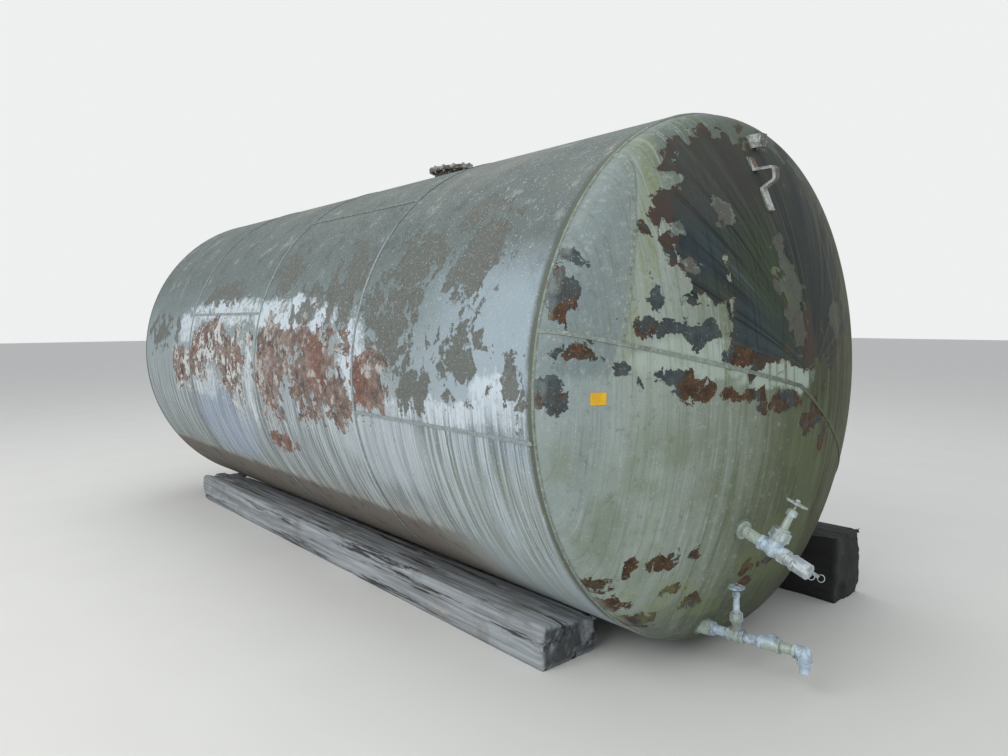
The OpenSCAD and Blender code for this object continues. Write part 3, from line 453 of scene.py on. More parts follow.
def head_finish():
    """Pale green-grey paint with a great dark peeled field, streaks and brown-edged chips; darker and olive
    towards the right, partly dirt and partly painted shade.
    """
    f = Finish("streaked_head_paint", gloss=0.2)
    high = f.z - AXIS_Z
    torn_x, _, torn_z = f.split(f.stirred(0.06, 24.0, f.stirred(0.16, 5.5)))
    flat = f.vector(torn_x, torn_z - AXIS_Z)

    broad = f.noise(1.8, 5.0, 0.6)
    ragged = f.noise(9.0, 9.0, 0.7) - 0.5
    fine = f.noise(50.0, 6.0, 0.72)
    grain = f.noise(160.0, 3.0, 0.6)
    big_flakes = f.flakes(15.0, f.stirred(0.03, 30.0))
    bits = f.noise(26.0, 9.0, 0.78) - 0.5
    breakup = big_flakes * 1.3 + ragged * 1.6 + bits * 1.2
    specks = f.noise(110.0, 4.0, 0.7)
    bent = f.x + (high * high) * 0.05
    streaks = f.noise(1.0, 5.0, 0.62, where=f.vector(bent * 19.0, 0.0, high * 1.2), warp=0.2)
    thin = f.noise(1.0, 5.0, 0.68, where=f.vector(bent * 70.0, 0.0, high * 2.6))
    fan = f.bearing(high - FAN_HIGH, f.x - FAN_X)
    strokes = f.noise(1.0, 6.0, 0.6, where=f.vector(fan * 11.0, high * 1.6, 0.0), warp=0.3)
    fan_lines = f.noise(1.0, 3.0, 0.55, where=f.vector(fan * 34.0, high * 0.7, 0.0), warp=0.15)

    low = high.step(-0.02, -0.25)
    past_seam = f.x - high * SIDE_SEAM_LEAN - SIDE_SEAM_X
    side_plate = past_seam.step(0.004, -0.004) * high.step(0.06, 0.1)
    beside_seam = past_seam.step(0.0, 0.03) * (past_seam + ragged * 0.1).step(0.132, 0.072)
    slate_field = f.patches(flat, SLATE_SPOTS)
    slate_edge = slate_field * 1.5 + breakup * 0.8
    islands = (f.patches(flat, ISLAND_SPOTS) * 1.2 + breakup * 1.1 + bits * 0.5).step(0.14, 0.2)
    slate = slate_edge.step(0.18, 0.21) * (1 - islands)
    slate_brown = (f.patches(flat, SLATE_BROWN_SPOTS) + ragged * 1.4 + bits).step(0.05, 0.3)
    slate_moss = f.patches(flat, SLATE_MOSS_SPOTS).step(0, 0.5)
    chipped = (f.patches(flat, CHIP_SPOTS) * 1.4 + breakup + bits * 0.5).step(0.2, 0.24)
    mint = f.patches(flat, MINT_SPOTS)

    # Paint from pale at the left to dark olive at the right: the darkening to the right is partly dirt and
    # partly painted shade
    paint = f.bands((f.x + (broad - 0.5) * 0.35 + 1.25) * 0.4, [
        (0.0, "8d9b9d"), (0.16, "9aa69f"), (0.34, "7f887a"), (0.46, "5c624c"), (0.58, "484c3a"),
        (0.80, "494d3a"), (1.0, "5f675b")])
    tinted = f.stack(
        paint,
        ("68767a", side_plate * 0.55),
        ("5f6a66", (high + ragged * 0.3).step(0.66, 0.92) * f.x.step(-0.85, -0.6) * 0.8),
        ("88906a", beside_seam * streaks.step(0.35, 0.55) * high.step(0.0, 0.3) * 0.6),
        ("aab9ae", (mint + ragged * 0.9).step(0, 0.35) * 0.88),
    )
    streaked = f.stack(
        tinted,
        ("4b513c", streaks.step(0.5, 0.64) * f.x.step(-0.8, -0.2) * 0.65),
        ("6f7a5c", streaks.step(0.5, 0.64) * f.x.step(-1.1, -0.6) * 0.45),
        ("a3ac8c", thin.step(0.42, 0.34) * low * f.x.step(-0.5, 0.2) * 0.35),
        ("a9b4af", thin.step(0.53, 0.66) * f.x.step(0.1, -0.6) * (1 - side_plate * 0.7) * 0.6),
        ("8e9a9c", side_plate * bits.step(0.0, 0.12) * 0.5),
        ("6a766c", thin.step(0.46, 0.36) * f.x.step(-0.2, -0.8) * 0.45),
        ("a8b3a6", bits.step(0.05, 0.13) * f.x.step(0.3, -0.5) * 0.5),
        ("5d6758", bits.step(-0.05, -0.14) * 0.4),
        ("9aa595", streaks.step(0.46, 0.34) * low * f.x.step(0.35, -0.5) * 0.45),
        ("3f4333", thin.step(0.5, 0.68) * low * f.x.step(-0.6, 0.1) * 0.55),
        ("6c7657", broad.step(0.46, 0.6) * low * 0.45),
    )
    peeled = f.stack(
        streaked,
        ("59453a", slate_edge.step(0.1, 0.17) * (1 - slate) * ragged.step(-0.02, 0.03) * 0.75),
        (slate_tone(f, flat, strokes, broad, thin), slate * f.x.step(1.05, 0.55)),
        ("46532f", slate * fan_lines.step(0.46, 0.36) * slate_moss * 0.55),
        ("171b1d", slate * fan_lines.step(0.54, 0.62) * high.step(1.0, 0.75) * 0.7),
        ("4b3a31", slate * slate_brown * 0.75),
        ("47443f", slate * (high + ragged * 0.4).step(0.6, 0.8) * f.x.step(0.1, -0.1) * 0.55),
    )
    # Darker strokes and streaks on the right side of the head: dirt and painted shade
    right_dirt_and_shade = f.stack(
        peeled,
        ("545747", strokes.step(0.5, 0.6) * f.x.step(0.12, 0.4) * high.step(-0.1, 0.2) * 0.5),
        ("5f6259", streaks.step(0.52, 0.64) * f.x.step(0.2, 0.5) * 0.5),
        ("54483a", strokes.step(0.5, 0.4) * f.x.step(0.3, 0.55) * ragged.step(-0.1, 0.1) * 0.6),
        ("2e302c", thin.step(0.52, 0.64) * f.x.step(0.1, 0.4) * 0.5),
    )
    chipped_through = f.stack(
        right_dirt_and_shade,
        ("4f4036", slate * slate_edge.step(0.5, 0.25) * ragged.step(-0.04, 0.04) * 0.6),
        ("5d6865", slate * bits.step(0.12, 0.16) * 0.5),
        ("272c2e", slate * bits.step(-0.08, -0.13) * 0.5),
        ("565f5b", slate_field.step(0, 0.3) * islands * (fine + 0.2).step(0.5, 0.8) * 0.8),
        (chip_tone(f, high, bits), chipped),
    )
    moss = f.noise(5.0, 6.0, 0.7).step(0.5, 0.62) * high.step(-0.62, -0.85) * f.x.step(0.2, -0.3)
    from_axis = f.x * f.x + high * high
    colour = f.stack(
        chipped_through,
        ("444944", high.step(-0.82, -1.08) * (ragged + 0.6).step(0.1, 0.8) * 0.7),
        # Dark olive patches on the right side: dirt and painted shade
        ("566049", f.noise(3.0, 4.0, 0.6).step(0.48, 0.62) * f.x.step(0.35, 0.7) * 0.6),
        ("7f8a58", moss * 0.4),
        ("c6cfca", specks.step(0.62, 0.68) * f.x.step(0.3, -0.7) * (1 - slate) * 0.55),
        ("393e3a", f.noise(34.0, 5.0, 0.78).step(0.64, 0.71) * 0.6),
        ("8f9a97", from_axis.step(1.43, 1.455) * ragged.step(-0.1, 0.1) * 0.5),
    )
    relief = grain * 0.2 + fine * 0.35 - slate * 0.5 - chipped * 0.6 + thin * 0.15
    return f.done(colour, 0.76 - slate * 0.08 + chipped * 0.1, relief, 0.0022)


def weld_finish():
    """Weld metal under broken pale paint, with painted highlights on its ripples' crests and painted shade in
    the gaps between them, and darker on the front head towards the right with dirt and painted shade.
    """
    f = Finish("painted_weld_beads", gloss=0.25)
    ripple = f.noise(60.0, 5.0, 0.7)
    broken = f.noise(9.0, 8.0, 0.7)
    valve_end = f.y.step(RIM_Y + 0.05, RIM_Y)
    lit = abs(f.x).step(0.7, 1.15)
    paint = f.mix(f.mix("676f6e", "8b9698", lit), "848f86", valve_end)
    # Beads on the front head darker towards the right: dirt and painted shade
    shade = f.x.step(-0.7, 0.3) * valve_end
    colour = f.stack(
        f.mix(paint, "565b4c", shade),
        # Painted highlight on the ripples' crests, weaker where the bead is in painted shade
        ("b3bcba", ripple.step(0.5, 0.64) * (1 - shade * 0.7) * 0.5),
        ("5f5044", broken.step(0.56, 0.64) * 0.5),
        # Painted shade in the gaps between the ripples
        ("4b504b", ripple.step(0.42, 0.34) * 0.6),
    )
    return f.done(colour, 0.8, ripple + f.noise(200.0) * 0.3, 0.003)


# Heights above the axis: both ends of a lug's strap, the foot of the bracket, and the top fitting's neck
STRAP_LOW, STRAP_HIGH, BRACKET_LOW, NECK_LOW = 0.84, 1.02, 1.02, 1.225


def fitting_finish():
    """White-edged rusty steel of the lugs, the bracket and the inspection fitting, with painted shade on the
    bracket's front face and painted shadow under the fitting's flange.
    """
    f = Finish("rusted_fitting_paint")
    high = f.z - AXIS_Z
    ragged = f.noise(18.0, 8.0, 0.7)
    fine = f.noise(90.0, 5.0, 0.7)
    rusty = f.bands(f.noise(34.0, 6.0, 0.7), [
        (0.3, "33281f"), (0.45, "54402f"), (0.58, "7a5540"), (0.75, "a4887a")])
    on_top = f.y.step(RIM_Y + 0.6, RIM_Y + 0.8)
    bare = (ragged + on_top * 0.02).step(0.52, 0.58)
    lug_turn = math.radians(LUG_CLOCK + VESSEL_ROLL)
    across = f.x * math.cos(lug_turn) - high * math.sin(lug_turn)
    strap = high.step(STRAP_LOW, STRAP_LOW + 0.03) * high.step(STRAP_HIGH, STRAP_HIGH - 0.01)
    # One side of each strap, which is painted darker below
    dull = strap * across.step(-0.0178, -0.0162)
    shaded_bracket_face = f.y.step(RIM_Y - 0.2184, RIM_Y - 0.2196) * high.step(BRACKET_LOW, BRACKET_LOW + 0.01)
    dirt = f.noise(30.0, 7.0, 0.75).step(0.47, 0.53) * high.step(0.9, 1.0)
    rust = (bare * (0.45 + on_top * 0.25)).over(dull * ragged.step(0.46, 0.54) * 0.8)
    colour = f.stack(
        f.mix("c3c9c6", "9aa19c", fine.step(0.4, 0.6)),
        ("4a4f4c", dirt * 0.85),
        ("565a54", f.noise(26.0, 6.0, 0.7).step(0.5, 0.6) * 0.6),
        # One side of each strap painted darker, and painted shade on the bracket's front face
        ("50544f", dull.over(shaded_bracket_face) * 0.8),
        (rusty, rust),
        # Dark brown below the top of the inspection neck, and on the rear fittings: rust, with painted shadow
        # under the flange
        ("4a4037", on_top * high.step(NECK_LOW + 0.02, NECK_LOW) * 0.8),
        ("d5d8d4", fine.step(0.56, 0.62) * 0.6 * (1 - dull * 0.6)),
    )
    return f.done(colour, 0.82, ragged * 0.8 + fine * 0.4, 0.0025)


def galvanised_finish():
    """Silvery galvanised iron with chalky bloom, and grime in the low places."""
    f = Finish("galvanised_iron", 0.5, 0.25)
    bloom = f.noise(28.0, 6.0, 0.65)
    fine = f.noise(220.0, 4.0, 0.65)
    spangle = f.cells(160.0)
    grime = f.noise(12.0, 7.0, 0.7)
    colour = f.stack(
        f.mix("a9bccc", "c6d8e8", bloom.step(0.4, 0.62)),
        ("a2ad98", f.noise(9.0, 5.0, 0.6).step(0.47, 0.58) * 0.75),
        ("dfe4e6", spangle.step(0.3, 0.1) * 0.35),
        ("6f7370", grime.step(0.5, 0.62) * 0.65),
        ("3c3b35", fine.step(0.57, 0.64) * 0.7),
        ("7c6a58", f.noise(40.0, 6.0, 0.7).step(0.63, 0.7) * 0.6),
    )
    return f.done(colour, 0.42 + grime * 0.3, fine * 0.4 + bloom, 0.0008, 0.35 - grime * 0.25)


def pipe_finish():
    """Painted pipe: pale green-beige paint worn to grey, with rust at the threads."""
    f = Finish("painted_pipe")
    wear = f.noise(25.0, 7.0, 0.7)
    fine = f.noise(120.0, 4.0, 0.65)
    colour = f.stack(
        f.mix("95a599", "b3c0b7", wear.step(0.4, 0.6)),
        ("777a6c", wear.step(0.55, 0.68) * 0.7),
        ("6a5644", f.noise(48.0, 6.0, 0.7).step(0.6, 0.68) * 0.7),
        ("d8dbd4", fine.step(0.6, 0.68) * 0.5),
    )
    return f.done(colour, 0.62, wear + fine * 0.3, 0.0007)


def cap_finish():
    """Cast aluminium of the cam-lock cap, dulled and nicked."""
    f = Finish("dull_cast_aluminium", 0.45, 0.55)
    cast = f.noise(180.0, 5.0, 0.6)
    dull = f.noise(22.0, 6.0, 0.65)
    colour = f.stack(
        f.mix("9ea8ae", "c2cacf", dull.step(0.4, 0.6)),
        ("7d817f", dull.step(0.56, 0.7) * 0.55),
        ("55564f", cast.step(0.64, 0.7) * 0.5),
    )
    return f.done(colour, 0.38 + dull * 0.3, cast, 0.0005)


def timber_finish():
    """Weathered timber with grain along its length, checks, dark ends and fresh pale splits."""
    f = Finish("weathered_timber")
    grain = f.noise(1.0, 7.0, 0.65, where=f.scaled(46.0, 1.3, 46.0), warp=0.35)
    check = f.noise(1.0, 5.0, 0.7, where=f.scaled(20.0, 0.9, 20.0))
    blot = f.noise(3.5, 6.0, 0.65)
    split = f.noise(1.0, 6.0, 0.7, where=f.scaled(7.0, 2.2, 7.0))
    near_end, far_end = (Vector(corner).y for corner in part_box("timber_left"))
    end = f.y.step(near_end + 0.012, near_end + 0.002).over(f.y.step(far_end - 0.015, far_end))
    right_timber = f.x.step(0.5, 0.8)
    colour = f.stack(
        f.bands(grain, [(0.3, "56585a"), (0.44, "83888c"), (0.56, "9aa1a6"), (0.7, "b2b8bc")]),
        ("2c2b2a", check.step(0.55, 0.61) * 0.9),
        ("6a675f", blot.step(0.5, 0.66) * 0.45),
        ("b9ad98", split.step(0.6, 0.68) * blot.step(0.55, 0.4) * 0.7),
        ("34383c", end * 0.85),
        ("1f201d", right_timber * 0.88),
    )
    return f.done(colour, 0.88, grain * 0.7 - check.step(0.58, 0.66) * 0.8, 0.006)


def label_finish():
    """Bare yellow enamel of the small plate on the head, faded and scuffed."""
    f = Finish("faded_yellow_enamel", 0.5)
    scuff = f.noise(60.0, 6.0, 0.7)
    fade = f.noise(14.0, 4.0, 0.6)
    colour = f.stack(
        f.mix("f0bd14", "dda818", fade.step(0.4, 0.6)),
        ("8a7440", scuff.step(0.58, 0.68) * 0.6),
        ("e7c566", scuff.step(0.42, 0.34) * 0.4),
    )
    return f.done(colour, 0.45 + scuff * 0.3, scuff, 0.0004)


def bolt_finish():
    """Rusty bolts and nuts with broken zinc on their corners."""
    f = Finish("rusty_bolts", 0.7)
    wear = f.noise(120.0, 6.0, 0.7)
    colour = f.stack(
        f.mix("6b5c50", "453a33", wear.step(0.4, 0.6)),
        ("c3c6c3", f.noise(60.0, 5.0, 0.7).step(0.46, 0.54) * 0.85),
    )
    return f.done(colour, 0.6 + wear * 0.3, wear, 0.0006)


SHELL, HEAD, WELD, FITTING = shell_finish(), head_finish(), weld_finish(), fitting_finish()
GALVANISED, PIPE, CAP, TIMBER = galvanised_finish(), pipe_finish(), cap_finish(), timber_finish()
LABEL, BOLT = label_finish(), bolt_finish()

# The finish of each CAD piece, by the longest of these that its name starts with
COATS = {
    "shell_course": SHELL, "front_head": HEAD, "rear_head": HEAD, "shell_seam_welds": WELD,
    "front_rim_weld": WELD, "rear_rim_weld": WELD, "front_head_seam_welds": WELD,
    "front_lifting_lug": FITTING, "rear_lifting_lug": FITTING, "plate_bracket": FITTING,
    "inspection": FITTING, "upper_nipple": PIPE, "upper_coupling": PIPE, "drain_coupling": PIPE,
    "dust_cap": CAP, "cam": CAP, "upper": GALVANISED, "drain": GALVANISED, "timber": TIMBER,
}
for name, part in frame["nodes"].items():
    longest = max((start for start in COATS if name.startswith(start)), key=len)
    for holder in part.material_slots:
        holder.material = COATS[longest]


def piece(name, points, faces, material, body, smooth=False):
    """A finished piece from its corners and faces, in the row frame, riding on a body."""
    mesh = bpy.data.meshes.new(name)
    mesh.from_pydata([tuple(p) for p in points], [], faces)
    mesh.validate()
    settle(name, mesh, material, body, smooth)


def settle(name, mesh, material, body, smooth=False):
    """An object of its own for a finished mesh, with its material, riding on a body."""
    mesh.materials.clear()
    mesh.materials.append(material)
    mesh.polygons.foreach_set("use_smooth", [smooth] * len(mesh.polygons))
    made = bpy.data.objects.new(name, mesh)
    bpy.context.scene.collection.objects.link(made)
    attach(made, body)
    return made


def on_head(x, z, lift=0.0, rear=False):
    """Point on a head at x and z from the vessel's axis, with the way out of the head there."""
    r = math.hypot(x, z)
    reach = head_reach(r)
    if r < CROWN_EDGE:
        out = Vector((x, -(reach + CROWN_DROP), z)).normalized()
    else:
        side = (r - KNUCKLE_C) / KNUCKLE_R
        out = Vector((x / r * side, -reach / KNUCKLE_R, z / r * side)).normalized()
    end = REAR if rear else VESSEL
    return end @ (Vector((x, -reach, z)) + out * lift), (end.to_3x3() @ out).normalized()


def clocked(clock, across, radius):
    """x and z, from the axis, of a point at a radius along a clock angle and a distance across it."""
    turn = math.radians(clock)
    return (radius * math.sin(turn) + across * math.cos(turn),
            radius * math.cos(turn) - across * math.sin(turn))


def bead(name, path, size, closed):
    """Hand-laid weld bead along (point, way out) pairs, with ripples and a ragged width."""
    count, sides = len(path), 8
    points, faces = [], []
    for i, (spot, out) in enumerate(path):
        before = path[(i - 1) % count if closed else max(i - 1, 0)][0]
        after = path[(i + 1) % count if closed else min(i + 1, count - 1)][0]
        run = (after - before).normalized()
        side = run.cross(out).normalized()
        swell = size * (1 + 0.28 * noise.noise(spot * 90) + 0.16 * math.sin(i * 2.1))
        if not closed and i in (0, count - 1):
            swell *= 0.45
        for k in range(sides):
            a = 2 * math.pi * k / sides
            lump = 1 + 0.15 * noise.noise(spot * 240 + Vector((k, 0, 0)))
            points.append(spot + (side * math.cos(a) * 1.15 + out * math.sin(a) * 0.8) * swell * lump)
    for i in range(count if closed else count - 1):
        j = (i + 1) % count
        for k in range(sides):
            m = (k + 1) % sides
            faces.append((i * sides + k, j * sides + k, j * sides + m, i * sides + m))
    if not closed:
        faces.append(tuple(range(sides)))
        faces.append(tuple((count - 1) * sides + k for k in range(sides - 1, -1, -1)))
    piece(name, points, faces, WELD, "tank", True)


# How far the middle of a bead stands off the surface, in metres
BEAD_LIFT = 0.001


def round_coupling(aim, radius, steps=96, halvings=30):
    """Pairs round a pipe coupling where it meets the front head, found by halving along the pipe."""
    pairs = []
    back = VESSEL.inverted()
    for i in range(steps):
        a = 2 * math.pi * i / steps
        u, v = radius * math.cos(a), radius * math.sin(a)
        low, high = -0.12, 0.12
        for _ in range(halvings):
            mid = (low + high) / 2
            spot = back @ (aim @ Vector((u, v, mid)))
            inside = -spot.y < head_reach(min(math.hypot(spot.x, spot.z), HEAD_R))
            low, high = (mid, high) if inside else (low, mid)
        spot = back @ (aim @ Vector((u, v, low)))
        pairs.append(on_head(spot.x, spot.z, BEAD_LIFT))
    return pairs


def round_neck(radius, steps=120):
    """Pairs round the inspection neck where it meets the shell."""
    pairs = []
    for i in range(steps):
        a = 2 * math.pi * i / steps
        u, v = radius * math.cos(a), radius * math.sin(a)
        drop = math.sqrt(SHELL_R**2 - u * u) - SHELL_R
        out = NECK.to_3x3() @ Vector((u, 0, SHELL_R))
        pairs.append((NECK @ Vector((u, v, drop + BEAD_LIFT)), out.normalized()))
    return pairs


def round_strap_end(across, low, high, rear, steps=9):
    """Pairs round the free end of a lug on a head: up one side, across, and down the other."""
    corners = [(-across, low), (-across, high), (across, high), (across, low)]
    pairs = []
    for (t0, r0), (t1, r1) in zip(corners, corners[1:]):
        for i in range(steps):
            t, r = t0 + (t1 - t0) * i / steps, r0 + (r1 - r0) * i / steps
            pairs.append(on_head(*clocked(LUG_CLOCK, t, r), BEAD_LIFT, rear))
    return pairs


def beside_bracket(across, low, high, steps=15):
    """Pairs up one side of the bracket on the front head."""
    radii = (low + (high - low) * i / steps for i in range(steps + 1))
    return [on_head(*clocked(BRACKET_CLOCK, across, r)) for r in radii]


# Where the beads lie, in metres: radii of the round ones, and half widths and ends of the others
UP_COUPLING_R, LO_COUPLING_R, NECK_WELD_R = 0.043, 0.036, 0.1112
LUG_SIDE, LUG_UPPER_END, LUG_LOWER_END = 0.021, (0.95, 0.9925), (0.85, 0.7575)
BRACKET_SIDE, BRACKET_EDGE = 0.0245, (1.045, 1.099)

# Sizes of the beads: half the width of each, about, in metres
UP_COUPLING_BEAD, LO_COUPLING_BEAD, NECK_BEAD = 0.0055, 0.005, 0.0065
LUG_BEAD, BRACKET_BEAD = 0.0045, 0.004

bead("upper_coupling_weld", round_coupling(UPPER, UP_COUPLING_R), UP_COUPLING_BEAD, True)
bead("drain_coupling_weld", round_coupling(DRAIN, LO_COUPLING_R), LO_COUPLING_BEAD, True)
for end, rear in (("front", False), ("rear", True)):
    bead(end + "_lug_upper_weld", round_strap_end(LUG_SIDE, *LUG_UPPER_END, rear), LUG_BEAD, False)
    bead(end + "_lug_lower_weld", round_strap_end(LUG_SIDE, *LUG_LOWER_END, rear), LUG_BEAD, False)
for name, across in (("left", -BRACKET_SIDE), ("right", BRACKET_SIDE)):
    bead("bracket_weld_" + name, beside_bracket(across, *BRACKET_EDGE), BRACKET_BEAD, False)
bead("inspection_neck_weld", round_neck(NECK_WELD_R), NECK_BEAD, True)


class Build:
    """A Geometry Nodes tree in the making, with named inputs."""

    def __init__(self, name, **inputs):
        self.tree = bpy.data.node_groups.new(name, "GeometryNodeTree")
        self.tree.interface.new_socket("Geometry", in_out="OUTPUT", socket_type="NodeSocketGeometry")
        kinds = {int: "NodeSocketInt", float: "NodeSocketFloat"}
        self.ids = {}
        for key, value in inputs.items():
            made = self.tree.interface.new_socket(key, in_out="INPUT", socket_type=kinds[type(value)])
            self.ids[key] = made.identifier
        self.values = inputs
        start = self.tree.nodes.new("NodeGroupInput")
        self.inputs = {key: start.outputs[key] for key in inputs}

    def node(self, kind, settings=None, out=0, **links):
        made = self.tree.nodes.new(kind)
        for key, value in (settings or {}).items():
            setattr(made, key, value)
        for key, value in links.items():
            socket = made.inputs[key.replace("_", " ")]
            for one in value if isinstance(value, list) else [value]:
                if isinstance(one, bpy.types.NodeSocket):
                    self.tree.links.new(one, socket)
                else:
                    socket.default_value = one
        return made.outputs[out]

    def finished(self, shape, material, name, place, body, smooth=False):
        """Runs the tree on an empty mesh and leaves a plain mesh in its place on a body."""
        whole = self.node("GeometryNodeRealizeInstances", Geometry=shape)
        coated = self.node("GeometryNodeSetMaterial", Geometry=whole, Material=material)
        end = self.tree.nodes.new("NodeGroupOutput")
        self.tree.links.new(coated, end.inputs[0])
        carrier = bpy.data.objects.new("carrier", bpy.data.meshes.new("carrier"))
        bpy.context.scene.collection.objects.link(carrier)
        grown = carrier.modifiers.new("grown", "NODES")
        grown.node_group = self.tree
        for key, value in self.values.items():
            grown[self.ids[key]] = value
        graph = bpy.context.evaluated_depsgraph_get()
        mesh = bpy.data.meshes.new_from_object(carrier.evaluated_get(graph))
        bpy.data.objects.remove(carrier)
        mesh.transform(place)
        settle(name, mesh, material, body, smooth)


# Washer under a bolt head or nut, the chamfer on top of it, and the ridge of a thread, in metres
WASHER_R, WASHER_T = 0.0105, 0.004
CHAMFER_R, CHAMFER_T = 0.0025, 0.0016
THREAD_PITCH, THREAD_RIDGE = 0.0022, 0.0007


def hex_head(build, width, height):
    """Hexagon head with a chamfered top, closed, on its washer, standing on z 0."""
    head = build.node("GeometryNodeMeshCone", Vertices=6, Radius_Bottom=width, Radius_Top=width, Depth=height)
    chamfer = build.node("GeometryNodeMeshCone", Vertices=6, Radius_Bottom=width, Radius_Top=CHAMFER_R,
                         Depth=CHAMFER_T)
    lift = build.node("ShaderNodeCombineXYZ", Z=height)
    chamfer = build.node("GeometryNodeTransform", Geometry=chamfer, Translation=lift)
    both = build.node("GeometryNodeJoinGeometry", Geometry=[head, chamfer])
    level = build.node("ShaderNodeSeparateXYZ", Vector=build.node("GeometryNodeInputPosition"), out=2)
    inner = build.node("FunctionNodeCompare", {"operation": "EQUAL"}, A=level, B=height, Epsilon=0.0001)
    both = build.node("GeometryNodeDeleteGeometry", {"domain": "FACE"}, Geometry=both, Selection=inner)
    both = build.node("GeometryNodeMergeByDistance", Geometry=both, Distance=0.0001)
    washer = build.node("GeometryNodeMeshCylinder", Vertices=20, Radius=WASHER_R, Depth=WASHER_T)
    return build.node("GeometryNodeJoinGeometry", Geometry=[both, washer])


def bolt_ring(name, count, circle, width, height, place):
    """Bolts evenly round a circle, each turned by its own amount."""
    build = Build("bolts_round_a_flange", Count=count, Circle=circle, Width=width, Height=height)
    ring = build.node("GeometryNodeMeshCircle", Vertices=build.inputs["Count"], Radius=build.inputs["Circle"])
    bolt = hex_head(build, build.inputs["Width"], build.inputs["Height"])
    turn = build.node("FunctionNodeRandomValue", {"data_type": "FLOAT_VECTOR"}, Max=(0, 0, 1.05), Seed=4)
    bolts = build.node("GeometryNodeInstanceOnPoints", Points=ring, Instance=bolt, Rotation=turn)
    build.finished(bolts, BOLT, name, place, "tank")


def lone_nut(name, width, height, place, body):
    """One nut on its washer at the end of a stem."""
    build = Build("nut_on_a_stem", Width=width, Height=height)
    nut = hex_head(build, build.inputs["Width"], build.inputs["Height"])
    build.finished(nut, BOLT, name, place, body)


def thread_turns(name, radius, turns, place):
    """Cut thread that shows beside a fitting, as a fine ridge wound round the pipe."""
    build = Build("thread_turns", Radius=radius, Height=THREAD_PITCH * turns, Turns=float(turns))
    wound = build.node("GeometryNodeCurveSpiral", Resolution=40, Rotations=build.inputs["Turns"],
                       Start_Radius=build.inputs["Radius"], End_Radius=build.inputs["Radius"],
                       Height=build.inputs["Height"])
    ridge = build.node("GeometryNodeCurvePrimitiveCircle", Resolution=5, Radius=THREAD_RIDGE)
    thread = build.node("GeometryNodeCurveToMesh", Curve=wound, Profile_Curve=ridge, Fill_Caps=True)
    build.finished(thread, GALVANISED, name, place, "tank", True)


# The cover's bolts: how many, their circle, radius and thickness, and the heights that they sit at
COVER_BOLTS, COVER_CIRCLE, COVER_BOLT_R = 12, 0.1248, 0.0088
BOLT_HEAD_T, COVER_NUT_T = 0.0065, 0.0075
COVER_TOP, FLANGE_UNDERSIDE = 0.0572, 0.0292
above_cover = NECK @ moved(0, 0, COVER_TOP)
below_flange = NECK @ moved(0, 0, FLANGE_UNDERSIDE) @ turned("X", 180)
bolt_ring("cover_bolts", COVER_BOLTS, COVER_CIRCLE, COVER_BOLT_R, BOLT_HEAD_T, above_cover)
bolt_ring("cover_nuts", COVER_BOLTS, COVER_CIRCLE, COVER_BOLT_R, COVER_NUT_T, below_flange)

# A stem stands along its valve's y; its nut sits just clear of the handwheel's hub
STEM_UP = turned("X", -90)
WHEEL_NUT_R, WHEEL_NUT_T, HUB_CLEAR = 0.0098, 0.006, 0.0022
for wheel, aim, valve in (("upper", UPPER, UP_VALVE), ("drain", DRAIN, LO_VALVE)):
    seat = aim @ moved(0, 0, valve) @ STEM_UP @ moved(0, 0, WHEEL_TOP[wheel] + HUB_CLEAR)
    lone_nut(wheel + "_wheel_nut", WHEEL_NUT_R, WHEEL_NUT_T, seat, wheel + "_wheel")

# Threads: the radius of each line's pipe, the thread's start along it, and the turns that show
UP_PIPE_R, LO_PIPE_R = 0.02425, 0.0212
for name, aim, radius, start, turns in (
    ("upper_nipple_thread", UPPER, UP_PIPE_R, 0.0945, 4),
    ("upper_nipple_root_thread", UPPER, UP_PIPE_R, 0.0165, 3),
    ("drain_nipple_thread", DRAIN, LO_PIPE_R, 0.111, 4),
    ("drain_tee_thread", DRAIN, LO_PIPE_R, 0.2475, 4),
    ("drain_mid_thread", DRAIN, LO_PIPE_R, 0.1935, 4),
    ("drain_branch_thread", DRAIN, LO_PIPE_R, 0.3475, 4),
    ("drain_elbow_thread", DRAIN, LO_PIPE_R, 0.391, 4),
):
    thread_turns(name, radius, turns, aim @ moved(0, 0, start))


def rounded(x, z, x0, x1, z0, z1, corner):
    """A point of a rectangle, drawn in where it lies outside the round of a corner."""
    pull = Vector((corner - min(x - x0, x1 - x), corner - min(z - z0, z1 - z)))
    if min(pull) > 0 and pull.length > corner:
        pull *= 1 - corner / pull.length
        x += pull.x if x < (x0 + x1) / 2 else -pull.x
        z += pull.y if z < (z0 + z1) / 2 else -pull.y
    return x, z


def plate_on_head(name, x0, x1, z0, z1, thick, across=14, up=11, corner=0.004, off=0.0004):
    """Thin plate that follows the head, with rounded corners, placed by its edges in the row frame."""
    rows = []
    unrolled = turned("Y", -VESSEL_ROLL)
    for layer in (off, thick):
        for j in range(up + 1):
            for i in range(across + 1):
                x, z = rounded(x0 + (x1 - x0) * i / across, z0 + (z1 - z0) * j / up, x0, x1, z0, z1, corner)
                spot = unrolled @ Vector((x, 0, z))
                rows.append(on_head(spot.x, spot.z, layer)[0])
    wide, layer = across + 1, (across + 1) * (up + 1)
    faces = []
    for j in range(up):
        for i in range(across):
            a = j * wide + i
            faces.append((a + wide, a + wide + 1, a + 1, a))
            faces.append((a + layer, a + layer + 1, a + layer + wide + 1, a + layer + wide))
    edge = list(range(across)) + [j * wide + across for j in range(up)]
    edge += [up * wide + i for i in range(across, 0, -1)] + [j * wide for j in range(up, 0, -1)]
    for a, b in zip(edge, edge[1:] + edge[:1]):
        faces.append((a, b, b + layer, a + layer))
    piece(name, rows, faces, LABEL, "tank")


